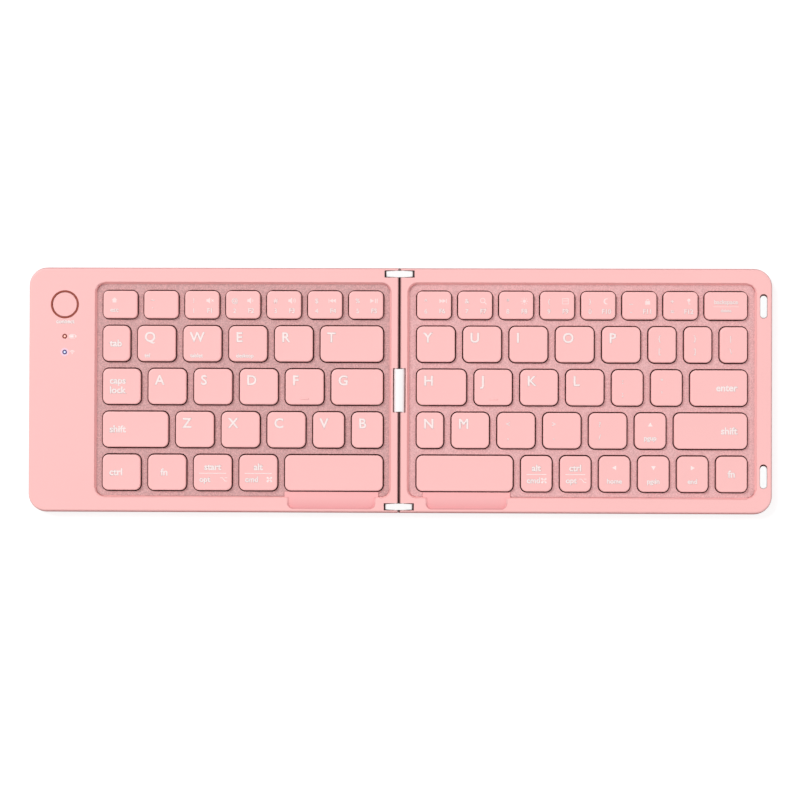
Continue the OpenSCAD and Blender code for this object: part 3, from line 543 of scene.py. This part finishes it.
def placed(rows, start, block, space):
    keys = []
    top = BLOCK_REAR
    for row, depth in zip(rows, ROW_DEPTHS):
        gaps = len(row) - 1
        keys_only = block - gaps * (NUMBER_SPACE if depth == NUMBER_DEPTH else space)
        stretch = keys_only / sum(width for _, width, _ in row)
        widths = [to_mould(width * stretch) for _, width, _ in row]
        gap = (block - sum(widths)) / gaps
        left = start
        for (node, _, marks), width in zip(row, widths):
            keys.append((node, to_mould(left + width / 2), to_mould(top - depth / 2), width, depth, marks))
            left += width + gap
        top -= depth + ROW_GAP
    return keys


keys = placed(left_rows, *LEFT_BLOCK) + placed(right_rows, *RIGHT_BLOCK)
for node, x, y, width, depth, _ in keys:
    if node.startswith("key_") or node.endswith("space_key"):
        low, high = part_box(node)
        miss = max(abs(low.x / mm - x + width / 2), abs(high.x / mm - x - width / 2),
                   abs(low.y / mm - y + depth / 2), abs(high.y / mm - y - depth / 2))
        assert miss < 0.03, (node, miss)
print(len(keys), "keys, each where its solid is")

# %% [markdown]
# ## One keycap
# A keycap is a shallow cup: a rounded block whose walls are 1 mm thick, open below. Its top is not
# flat but sinks towards the middle by about a tenth of a millimetre, which makes soft highlights.
# A cube is scaled, its upright edges and then its top edge are bevelled. The top face is extruded in
# place, drawn in and pushed down, ring by ring. Then the bottom face goes, and Solidify gives the
# walls. Insetting would be quicker, but it folds over where a ring is narrower than the corners.

# %% Model a keycap
DISH = 0.12
DISH_REACH = 6.0
KEY_EDGE = 0.45
RINGS = (0.4, 0.8, 1.0, 1.2)


def dish_depth(inward):
    share = min(inward / DISH_REACH, 1)
    return DISH * (1 - (1 - share) ** 2)


def select_faces(piece, test):
    bpy.ops.mesh.select_all(action="DESELECT")
    cage = bmesh.from_edit_mesh(piece.data)
    for face in cage.faces:
        if test(face):
            face.select_set(True)
    bmesh.update_edit_mesh(piece.data)


def model_keycap(width, depth, radius):
    height = (KEY_TOP - KEY_FOOT) / mm
    bpy.ops.mesh.primitive_cube_add(size=1)
    cap = bpy.context.object
    bpy.ops.object.mode_set(mode="EDIT")
    bpy.ops.transform.resize(value=(width * mm, depth * mm, height * mm))
    bpy.ops.mesh.select_mode(type="EDGE")
    bpy.ops.mesh.select_all(action="DESELECT")
    cage = bmesh.from_edit_mesh(cap.data)
    for edge in cage.edges:
        rise = edge.verts[0].co - edge.verts[1].co
        edge.select_set(abs(rise.z) > 0.9 * rise.length)
    bmesh.update_edit_mesh(cap.data)
    bpy.ops.mesh.bevel(offset=radius * mm, segments=9, affect="EDGES")
    bpy.ops.mesh.select_mode(type="FACE")
    select_faces(cap, lambda f: f.normal.z > 0.9)
    bpy.ops.mesh.region_to_loop()
    bpy.ops.mesh.bevel(offset=KEY_EDGE * mm, segments=4, affect="EDGES")
    bpy.ops.mesh.select_mode(type="FACE")
    select_faces(cap, lambda f: f.normal.z > 0.99 and f.calc_center_median().z > 0.49 * height * mm)
    inward, level = 0.0, 0.0
    for ring in RINGS:
        wide, deep = width - 2 * (KEY_EDGE + inward), depth - 2 * (KEY_EDGE + inward)
        inward += ring
        drop = dish_depth(inward)
        bpy.ops.mesh.extrude_region_move()
        bpy.ops.transform.resize(value=(1 - 2 * ring / wide, 1 - 2 * ring / deep, 1))
        bpy.ops.transform.translate(value=(0, 0, -(drop - level) * mm))
        level = drop
    select_faces(cap, lambda f: f.normal.z < -0.9)
    bpy.ops.mesh.delete(type="FACE")
    bpy.ops.object.mode_set(mode="OBJECT")
    walls = cap.modifiers.new("walls", "SOLIDIFY")
    walls.thickness = 0.9 * mm
    walls.offset = -1
    apply_modifiers(cap)
    bpy.ops.object.shade_smooth_by_angle(angle=math.radians(35))
    cap.location.z = (KEY_TOP + KEY_FOOT) / 2
    settle(cap)
    return cap


masters = {}
for _, _, _, width, depth, _ in keys:
    if (width, depth) not in masters:
        masters[(width, depth)] = model_keycap(width, depth, 2.0 if depth < 12 else 2.4)
print(len(masters), "sizes of keycap")

# %% [markdown]
# ## All the keycaps
# Each size is modelled once and copied to every key that has it. Keys that press together are one
# piece, as they are in the solid model, and each piece takes its solid's place.

# %% Copy the keycaps to their keys
def copy_to(master, x, y, name):
    mesh = master.data.copy()
    mesh.transform(Matrix.Translation((x * mm, y * mm, 0)))
    piece = bpy.data.objects.new(name, mesh)
    bpy.context.scene.collection.objects.link(piece)
    return piece


body_of_node = {n: b for b, ns in frame["record"]["behaviour"]["bodies"].items() for n in ns}
caps = {}
for node, x, y, width, depth, _ in keys:
    caps.setdefault(node, []).append(copy_to(masters[(width, depth)], x, y, "cap"))
for node, copies in caps.items():
    cap = join(copies, "cap_" + node)
    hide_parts(node)
    dress(cap, key_pink, body_of_node[node])
for master in masters.values():
    bpy.data.objects.remove(master)
print(len(caps), "keycap pieces")

# %% [markdown]
# ## Domes and frames under the keys
# A rubber dome and two crossing frames stand under each keycap. Their feet rest on the switch sheet
# and their heads reach the cap, so a press squeezes them. One dome is made from a cone whose top is
# drawn up, one pair of frames is taken from the solid model, and both are copied under every key. The
# switch sheet is a copy of the solid sheet with its domes pressed flat.

# %% Flat switch sheets
SHEET_THICKNESS = 0.2
SHEET_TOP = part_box("left_membrane")[0].z + SHEET_THICKNESS * mm
DOME_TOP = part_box("left_membrane")[1].z
for half in ("left", "right"):
    sheet = merged_copy(half + "_membrane", half + "_switch_sheet")
    for point in sheet.data.vertices:
        point.co.z = min(point.co.z, SHEET_TOP)
    bpy.ops.mesh.customdata_custom_splitnormals_clear()
    bpy.ops.object.mode_set(mode="EDIT")
    bpy.ops.mesh.select_all(action="SELECT")
    bpy.ops.mesh.remove_doubles(threshold=0.001 * mm)
    bpy.ops.object.mode_set(mode="OBJECT")
    bpy.ops.object.shade_flat()
    dress(sheet, membrane_rubber_and_shade, half + "_half")

# %% Model a dome and take out a pair of frames
DOME_FOOT = 2.1
DOME_HEAD = 1.15
RISE = DOME_TOP - SHEET_TOP
CONE_SHARE = 0.75
bpy.ops.mesh.primitive_cone_add(vertices=24, radius1=DOME_FOOT * mm, radius2=DOME_HEAD * mm,
                                depth=CONE_SHARE * RISE, location=(0, 0, SHEET_TOP + CONE_SHARE * RISE / 2))
dome_master = bpy.context.object
settle(dome_master)
bpy.ops.object.mode_set(mode="EDIT")
bpy.ops.mesh.select_mode(type="FACE")
select_faces(dome_master, lambda f: f.normal.z > 0.9)
bpy.ops.mesh.extrude_region_move()
bpy.ops.transform.translate(value=(0, 0, (1 - CONE_SHARE) * RISE))
bpy.ops.object.mode_set(mode="OBJECT")
bpy.ops.object.shade_smooth_by_angle(angle=math.radians(40))

# The frames under the F key serve as the pattern for all.
low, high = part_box("key_f")
middle = (low + high) / 2
frames_master = merged_copy("left_scissors", "frames_master")
bpy.ops.object.mode_set(mode="EDIT")
bpy.ops.mesh.select_mode(type="FACE")
select_faces(frames_master, lambda f: not (low.x < f.calc_center_median().x < high.x
                                           and low.y < f.calc_center_median().y < high.y))
bpy.ops.mesh.delete(type="FACE")
bpy.ops.object.mode_set(mode="OBJECT")
frames_master.data.transform(Matrix.Translation((-middle.x, -middle.y, 0)))
print(len(frames_master.data.polygons), "faces in a pair of frames")

# %% Copy them under the keys
FRAMES_FOOT, FRAMES_HEAD = (corner.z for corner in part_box("left_scissors"))
under = (("dome", dome_master, "membrane", membrane_rubber_and_shade, "dark_rubber", SHEET_TOP, DOME_TOP),
         ("frames", frames_master, "scissors", switch_white, "white_plastic", FRAMES_FOOT, FRAMES_HEAD))
for what, master, node_end, finish, slot, foot, head in under:
    squeezed = {}
    for node, x, y, _, _, _ in keys:
        squeezed.setdefault((body_of_node[node], "left" if x < 0 else "right"), []).append(
            copy_to(master, x, y, what))
    for (body, side), copies in squeezed.items():
        piece = join(copies, what + "_" + body)
        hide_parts(side + "_" + node_end)
        piece.data.materials.clear()
        piece.data.materials.append(finish)
        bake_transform(piece)
    bpy.data.objects.remove(master)
    print(len(squeezed), what, "pieces")

# %% [markdown]
# ## Printed legends
# The legends are a thin layer of pale ink. Text objects give the letters. A bevel round their
# outlines makes the strokes as bold as the print, and squeezing it flat leaves a closed layer of ink.
# Simple polygons with a thickness give the arrows and the small function signs. Each point is then
# set just above the key's sunken top, so the ink follows the dish.

# %% Helpers for ink
INK = 0.025
CAP_RATIO = 0.0


def text_mesh(words, cap, x, y, align="LEFT", bold=0.05):
    bpy.ops.object.text_add()
    sign = bpy.context.object
    sign.data.body = words
    sign.data.size = (cap - 2 * bold) / CAP_RATIO if CAP_RATIO else 1
    sign.data.align_x = align
    sign.data.align_y = "BOTTOM_BASELINE"
    sign.data.resolution_u = 4
    sign.data.bevel_depth = bold
    sign.data.bevel_resolution = 0
    bpy.ops.object.convert(target="MESH")
    sign = bpy.context.object
    shift = {"LEFT": bold, "CENTER": 0, "RIGHT": -bold}[align]
    flat = Matrix.Scale(INK / 2 / bold, 4, (0, 0, 1))
    sign.data.transform(Matrix.Translation((x + shift, y + bold, 0)) @ flat)
    return sign


def outline(points, x=0.0, y=0.0, turn=0.0, size=1.0):
    turning = Matrix.Rotation(math.radians(turn), 2)
    placed_points = [turning @ Vector(p) * size + Vector((x, y)) for p in points]
    mesh = bpy.data.meshes.new("sign")
    mesh.from_pydata([(p.x, p.y, 0) for p in placed_points], [], [list(range(len(points)))])
    sign = bpy.data.objects.new("sign", mesh)
    bpy.context.scene.collection.objects.link(sign)
    thick = sign.modifiers.new("ink", "SOLIDIFY")
    thick.thickness = INK
    thick.offset = 0
    apply_modifiers(sign)
    return sign


def disc(radius, x, y, sides=20):
    return outline([(radius * math.cos(2 * math.pi * i / sides), radius * math.sin(2 * math.pi * i / sides))
                    for i in range(sides)], x, y)


def bar(width, height, x, y, turn=0.0):
    return outline([(-width / 2, -height / 2), (width / 2, -height / 2), (width / 2, height / 2),
                    (-width / 2, height / 2)], x, y, turn)


def arc(radius, line, start, stop, x, y, steps=12):
    angles = [math.radians(start + (stop - start) * i / steps) for i in range(steps + 1)]
    outer = [((radius + line / 2) * math.cos(a), (radius + line / 2) * math.sin(a)) for a in angles]
    inner = [((radius - line / 2) * math.cos(a), (radius - line / 2) * math.sin(a)) for a in angles]
    return outline(outer + inner[::-1], x, y)


probe = text_mesh("H", 1, 0, 0, bold=0.001)
CAP_RATIO = max(v.co.y for v in probe.data.vertices) - 0.002
bpy.data.objects.remove(probe)
print("capitals are", round(CAP_RATIO, 3), "of the font size")

# %% Small function signs
TRIANGLE = [(0.6, 0), (-0.45, 0.6), (-0.45, -0.6)]


def sign_shapes(kind):
    horn = [(-1.0, -0.35), (-0.55, -0.35), (0.0, -0.85), (0.0, 0.85), (-0.55, 0.35), (-1.0, 0.35)]
    if kind.startswith("speaker"):
        waves = int(kind[7:] or 0)
        if not waves:
            return [outline(horn), bar(0.9, 0.17, 0.65, 0, 45), bar(0.9, 0.17, 0.65, 0, -45)]
        return [outline(horn)] + [arc(0.45 + 0.4 * w, 0.16, -45, 45, 0.05, 0) for w in range(waves)]
    if kind in ("back", "next"):
        side, turn = (-1, 180) if kind == "back" else (1, 0)
        return [outline(TRIANGLE, -0.35 * side, 0, turn, 0.9), outline(TRIANGLE, 0.45 * side, 0, turn, 0.9),
                bar(0.18, 1.1, 1.1 * side, 0)]
    if kind == "play":
        return [outline(TRIANGLE, -0.6, 0, 0, 0.95), bar(0.22, 1.15, 0.35, 0), bar(0.22, 1.15, 0.8, 0)]
    if kind == "lens":
        return [arc(0.6, 0.18, 0, 360, -0.15, 0.15, 24), bar(0.8, 0.2, 0.55, -0.55, -45)]
    if kind == "sun":
        beams = [math.pi / 4 * i for i in range(8)]
        return [disc(0.42, 0, 0)] + [bar(0.3, 0.16, 0.82 * math.cos(a), 0.82 * math.sin(a), math.degrees(a))
                                     for a in beams]
    if kind == "pages":
        return [bar(1.7, 0.16, 0, 0.7), bar(1.7, 0.16, 0, -0.7), bar(0.16, 1.4, -0.77, 0),
                bar(0.16, 1.4, 0.77, 0), bar(1.3, 0.14, 0, 0.1)]
    if kind == "moon":
        rim = [math.radians(a) for a in range(60, 301, 20)]
        bite = [math.radians(a) for a in range(270, 89, -20)]
        return [outline([(0.8 * math.cos(a), 0.8 * math.sin(a)) for a in rim]
                        + [(0.25 + 0.62 * math.cos(a), 0.62 * math.sin(a)) for a in bite])]
    if kind == "padlock":
        return [bar(1.3, 0.95, 0, -0.35), arc(0.38, 0.17, 0, 180, 0, 0.15)]
    if kind == "loop":
        corners = [disc(0.3, x, y, 12) for x in (-0.55, 0.55) for y in (-0.55, 0.55)]
        level = [bar(1.5, 0.16, 0, y) for y in (-0.3, 0.3)]
        upright = [bar(0.16, 1.5, x, 0) for x in (-0.3, 0.3)]
        return corners + level + upright
    if kind == "fork":
        return [bar(0.8, 0.18, -0.7, 0.5), bar(1.25, 0.18, 0, 0, -52), bar(0.8, 0.18, 0.7, -0.5),
                bar(0.8, 0.18, 0.7, 0.5)]
    return [disc(0.42, 0, 0.35), bar(0.2, 1.1, 0, -0.3), bar(0.5, 0.18, 0.15, -0.65)]


def function_sign(kind, x, y, size=1.3):
    signs = sign_shapes(kind)
    for sign in signs:
        sign.data.transform(Matrix.Translation((x, y, 0)) @ Matrix.Diagonal((size, size, 1, 1)))
    return signs


# %% What is printed on a key
LETTER_CAP = 4.2
WORD_CAP = 3.1
BOLD = 0.2
SMALL_BOLD = 0.11
DEVICES = {"Q": "tel", "W": "tablet", "E": "desktop"}


def marks_of(mark, width, depth):
    kind, rest = mark[0], mark[1:]
    left, top = -width / 2, depth / 2
    low = -WORD_CAP / 2
    if kind == "letter":
        device = DEVICES.get(rest[0])
        small = [text_mesh(device, 1.75, left + 2.75, 1.5 - top, bold=SMALL_BOLD)] if device else []
        return small + [text_mesh(rest[0], LETTER_CAP, left + 2.6, top - 2.5 - LETTER_CAP, bold=BOLD)]
    if kind == "word":
        return [text_mesh(rest[0], WORD_CAP, left + 2.6, low + 0.1, bold=BOLD)]
    if kind == "end_word":
        return [text_mesh(rest[0], WORD_CAP, width / 2 - 3.8, low + 0.1, "RIGHT", BOLD)]
    if kind == "middle":
        return [text_mesh(rest[0], WORD_CAP, rest[1], low + 0.1, "CENTER", BOLD)]
    if kind == "caps":
        return [text_mesh(w, 3.0, left + 2.6, y, bold=BOLD) for w, y in (("caps", 0.9), ("lock", -3.0))]
    if kind == "split":
        line = width - 4.4
        second = "fork" if rest[1] == "opt" else "loop"
        words = [text_mesh(rest[0], 2.9, 0, 0.9, "CENTER", BOLD), bar(line, 0.3, 0, -0.3),
                 text_mesh(rest[1], 2.5, -line / 2, -4.0, bold=0.16)]
        return words + function_sign(second, line / 2 - 1, -2.8, 1.35)
    if kind == "arrow":
        return [outline(TRIANGLE, 0, top - 4.7, rest[0], 1.6),
                text_mesh(rest[1], 2.1, 0, -4.0, "CENTER", 0.14)]
    if kind == "pair":
        x = left + (4.4 if depth > 12 else 3.6)
        rise, size = (2.6, 2.2) if depth > 12 else (1.95, 1.9)
        return [text_mesh(rest[0], size, x, rise - size / 2, "CENTER", SMALL_BOLD),
                text_mesh(rest[1], size, x, -rise - size / 2, "CENTER", SMALL_BOLD)]
    if kind == "number":
        x = left + 3.6
        far = left + 10.3
        return [text_mesh(rest[0], 2.0, x, 0.7, "CENTER", SMALL_BOLD),
                text_mesh(rest[1], 2.0, x, -3.5, "CENTER", SMALL_BOLD),
                text_mesh(rest[3], 2.1, far, -3.5, "CENTER", 0.15)] + function_sign(rest[2], far, 1.7, 1.55)
    if kind == "esc":
        house = [(-1.2, 0), (0, 1.1), (1.2, 0), (0.8, 0), (0.8, -1), (-0.8, -1), (-0.8, 0)]
        return [text_mesh("esc", 2.1, left + 4.6, -3.2, "CENTER", 0.15), outline(house, left + 4.6, 1.8)]
    return [text_mesh("backspace", 1.9, 0, 0.6, "CENTER", 0.13), bar(10.4, 0.18, 0, -0.4),
            text_mesh("delete", 1.4, 0, -2.7, "CENTER", SMALL_BOLD)]


# %% Print the legends
def print_on(signs, x, y, width, depth, name):
    ink = join(signs, name)
    for point in ink.data.vertices:
        inward = min(width / 2 - abs(point.co.x), depth / 2 - abs(point.co.y)) - KEY_EDGE
        height = KEY_TOP / mm - dish_depth(max(inward, 0)) + INK * 0.75 + point.co.z
        point.co = Vector(((point.co.x + x) * mm, (point.co.y + y) * mm, height * mm))
    return ink


printed = {}
for node, x, y, width, depth, marks in keys:
    for mark in marks:
        printed.setdefault(node, []).append(print_on(marks_of(mark, width, depth), x, y, width, depth, "ink"))
for node, inks in printed.items():
    legend = join(inks, "legend_" + node)
    pale = faint_ink if node.endswith(("number_keys", "symbol_keys")) else legend_ink
    dress(legend, pale, body_of_node[node])
print(len(printed), "printed legends")

# %% [markdown]
# ## Homing bars
# The F and J keys carry a small raised bar near their front edge, so that the fingers find them. A
# cube is stretched and its edges are bevelled into a pill.

# %% Homing bars on F and J
for node, x, y, width, depth, _ in keys:
    if node in ("key_f", "key_j"):
        bpy.ops.mesh.primitive_cube_add(size=1, location=(x * mm, (y - 4.9) * mm, KEY_TOP - 0.1 * mm))
        homing = bpy.context.object
        homing.name = "homing_bar_" + node[-1]
        homing.scale = (3.6 * mm, 0.7 * mm, 0.5 * mm)
        settle(homing)
        edges = homing.modifiers.new("edges", "BEVEL")
        edges.width = 0.2 * mm
        edges.segments = 4
        apply_modifiers(homing)
        bpy.ops.object.shade_smooth_by_angle(angle=math.radians(35))
        dress(homing, key_pink, body_of_node[node])

# %% [markdown]
# ## Status lights
# Each light is a small clear dome in a dark moulded rim. A cylinder is bevelled into a dome, and a
# torus makes the rim, sunk halfway into the case.

# %% Model the lights
lens_low, lens_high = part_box("status_lenses")
LENS_R = (lens_high.x - lens_low.x) / 2
LIGHT_R = 0.5 * mm
lights = {"charge": (lens_high.y - LENS_R, charge_glow, charge_rim),
          "link": (lens_low.y + LENS_R, link_glow, link_rim)}
for name, (y, glow, rim) in lights.items():
    x = (lens_low.x + lens_high.x) / 2
    bpy.ops.mesh.primitive_cylinder_add(vertices=32, radius=LIGHT_R, depth=4 * LIGHT_R,
                                        location=(x, y, case_top - 0.93 * mm))
    dome = bpy.context.object
    dome.name = name + "_light"
    settle(dome)
    soft = dome.modifiers.new("soft", "BEVEL")
    soft.width = 0.25 * mm
    soft.segments = 5
    soft.limit_method = "ANGLE"
    apply_modifiers(dome)
    bpy.ops.object.shade_smooth_by_angle(angle=math.radians(50))
    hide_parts("status_lenses")
    dress(dome, glow, "left_half")
    bpy.ops.mesh.primitive_torus_add(major_radius=0.7 * mm, minor_radius=0.25 * mm, major_segments=40,
                                     minor_segments=12, location=(x, y, case_top))
    ring = bpy.context.object
    ring.name = name + "_light_rim"
    settle(ring)
    bpy.ops.object.shade_smooth()
    dress(ring, rim, "left_half")

# %% [markdown]
# ## Signs beside the lights
# A small word stands under the button, a battery sign beside the charge light, and three waves
# beside the wireless light. They are printed on the case like the key legends.
# A pale lilac disc round the wireless light is a painted glow, where its blue shines through the plastic.

# %% Print the case signs
button_low, button_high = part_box("power_button")
button = (button_low + button_high) / 2 / mm
charge_y, link_y = lights["charge"][0] / mm, lights["link"][0] / mm
SIGN_X = button.x + 3.1
signs = [text_mesh("connect", 1.85, button.x + 0.2, button.y - 7.9, "CENTER", 0.14)]
signs += [bar(2.6, 0.24, SIGN_X, charge_y + side * 0.75) for side in (-1, 1)]
signs += [bar(0.24, 1.7, SIGN_X + side * 1.2, charge_y) for side in (-1, 1)]
signs += [bar(1.5, 0.9, SIGN_X - 0.2, charge_y), bar(0.35, 0.8, SIGN_X + 1.55, charge_y)]
signs += [disc(0.22, SIGN_X, link_y - 0.6), arc(0.65, 0.28, 40, 140, SIGN_X, link_y - 0.6),
          arc(1.2, 0.28, 40, 140, SIGN_X, link_y - 0.6)]
halo = disc(1.7, (lens_low.x + lens_high.x) / 2 / mm, link_y, 40)
halo.name = "link_halo"
halo.data.transform(Matrix.Translation((0, 0, case_top)) @ Matrix.Scale(mm, 4))
dress(halo, halo_painted_glow, "left_half")
case_signs = join(signs, "case_signs")
case_signs.data.transform(Matrix.Translation((0, 0, case_top)) @ Matrix.Scale(mm, 4))
dress(case_signs, legend_ink, "left_half")

# %% [markdown]
# ## The cable between the halves
# A flat film cable runs through a slot in the white guard and dips under each key deck. Each side
# bends at its own hinge axis, so the cable is two strips. A grid is bent along its length and given a
# thickness.

# %% Model the film cable
CABLE = [(0, 5.03), (2.35, 5.03), (3.75, 3.8), (5.25, 3.5), (7.55, 2.3), (12, 2.3)]


def cable_height(x):
    for (x0, z0), (x1, z1) in zip(CABLE, CABLE[1:]):
        if x <= x1:
            return z0 + (z1 - z0) * (x - x0) / (x1 - x0)
    return CABLE[-1][1]


for side, half in ((-1, "left_half"), (1, "right_half")):
    bpy.ops.mesh.primitive_grid_add(x_subdivisions=40, y_subdivisions=8, size=1, location=(side * 6 * mm, 0, 0))
    strip = bpy.context.object
    strip.name = "film_cable_" + half.split("_")[0]
    strip.scale = (12 * mm, 12.8 * mm, 1)
    settle(strip)
    for point in strip.data.vertices:
        point.co.z = cable_height(abs(point.co.x) / mm) * mm
    film = strip.modifiers.new("film", "SOLIDIFY")
    film.thickness = 0.1 * mm
    film.offset = 0
    apply_modifiers(strip)
    bpy.ops.object.shade_smooth_by_angle(angle=math.radians(30))
    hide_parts("flex_cable")
    strip.data.materials.clear()
    strip.data.materials.append(amber_film)
    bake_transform(strip)

# %% [markdown]
# ## Floor and light
# The product stands on a white table in soft light. One large lamp at the upper left gives the keys
# their dark right and lower edges, a weaker one fills from the right, and a white surrounding lifts
# the rest. The background shows pure white to the camera, while the table keeps a faint shadow.

# %% White table
bpy.ops.mesh.primitive_plane_add(size=12, location=(0, 0, 0))
table = bpy.context.object
table.name = "table"
paper = bpy.data.materials.new("white_table")
paper.use_nodes = True
nodes, links = paper.node_tree.nodes, paper.node_tree.links
cover = nodes["Principled BSDF"]
cover.inputs["Base Color"].default_value = (0.45, 0.45, 0.45, 1)
cover.inputs["Roughness"].default_value = 0.9
cover.inputs["Specular IOR Level"].default_value = 0.0
lift = nodes.new("ShaderNodeEmission")
lift.inputs["Strength"].default_value = 0.7
ray = nodes.new("ShaderNodeLightPath")
camera_or_gloss = nodes.new("ShaderNodeMath")
camera_or_gloss.operation = "ADD"
camera_or_gloss.use_clamp = True
nothing = nodes.new("ShaderNodeEmission")
nothing.inputs["Strength"].default_value = 0.0
seen = nodes.new("ShaderNodeMixShader")
total = nodes.new("ShaderNodeAddShader")
links.new(ray.outputs["Is Camera Ray"], camera_or_gloss.inputs[0])
links.new(ray.outputs["Is Glossy Ray"], camera_or_gloss.inputs[1])
links.new(camera_or_gloss.outputs["Value"], seen.inputs["Fac"])
links.new(nothing.outputs["Emission"], seen.inputs[1])
links.new(lift.outputs["Emission"], seen.inputs[2])
links.new(cover.outputs["BSDF"], total.inputs[0])
links.new(seen.outputs["Shader"], total.inputs[1])
links.new(total.outputs["Shader"], nodes["Material Output"].inputs["Surface"])
table.data.materials.append(paper)

# %% Lamps and surroundings
def soft_lamp(name, place, size, power):
    bpy.ops.object.light_add(type="AREA", location=place)
    lamp = bpy.context.object
    lamp.name = name
    lamp.data.size = size
    lamp.data.energy = power
    lamp.rotation_euler = (-Vector(place)).to_track_quat("-Z", "Y").to_euler()
    return lamp


soft_lamp("window", (-1.8, 1.5, 3.0), 1.4, 80)
soft_lamp("fill", (2.4, -0.8, 2.8), 2.0, 29)

world = bpy.context.scene.world or bpy.data.worlds.new("studio")
bpy.context.scene.world = world
world.use_nodes = True
nodes, links = world.node_tree.nodes, world.node_tree.links
nodes.clear()
room = nodes.new("ShaderNodeBackground")
room.inputs["Strength"].default_value = 0.445
backdrop = nodes.new("ShaderNodeBackground")
backdrop.inputs["Strength"].default_value = 1.0
for shade in (room, backdrop):
    shade.inputs["Color"].default_value = (1, 1, 1, 1)
ray = nodes.new("ShaderNodeLightPath")
first = nodes.new("ShaderNodeMath")
second = nodes.new("ShaderNodeMath")
for adding in (first, second):
    adding.operation = "ADD"
    adding.use_clamp = True
choose = nodes.new("ShaderNodeMixShader")
sky = nodes.new("ShaderNodeOutputWorld")
links.new(ray.outputs["Is Camera Ray"], first.inputs[0])
links.new(ray.outputs["Is Glossy Ray"], first.inputs[1])
links.new(first.outputs["Value"], second.inputs[0])
links.new(ray.outputs["Is Transmission Ray"], second.inputs[1])
links.new(second.outputs["Value"], choose.inputs["Fac"])
links.new(room.outputs["Background"], choose.inputs[1])
links.new(backdrop.outputs["Background"], choose.inputs[2])
links.new(choose.outputs["Shader"], sky.inputs["Surface"])
bpy.context.scene.view_settings.view_transform = "Standard"
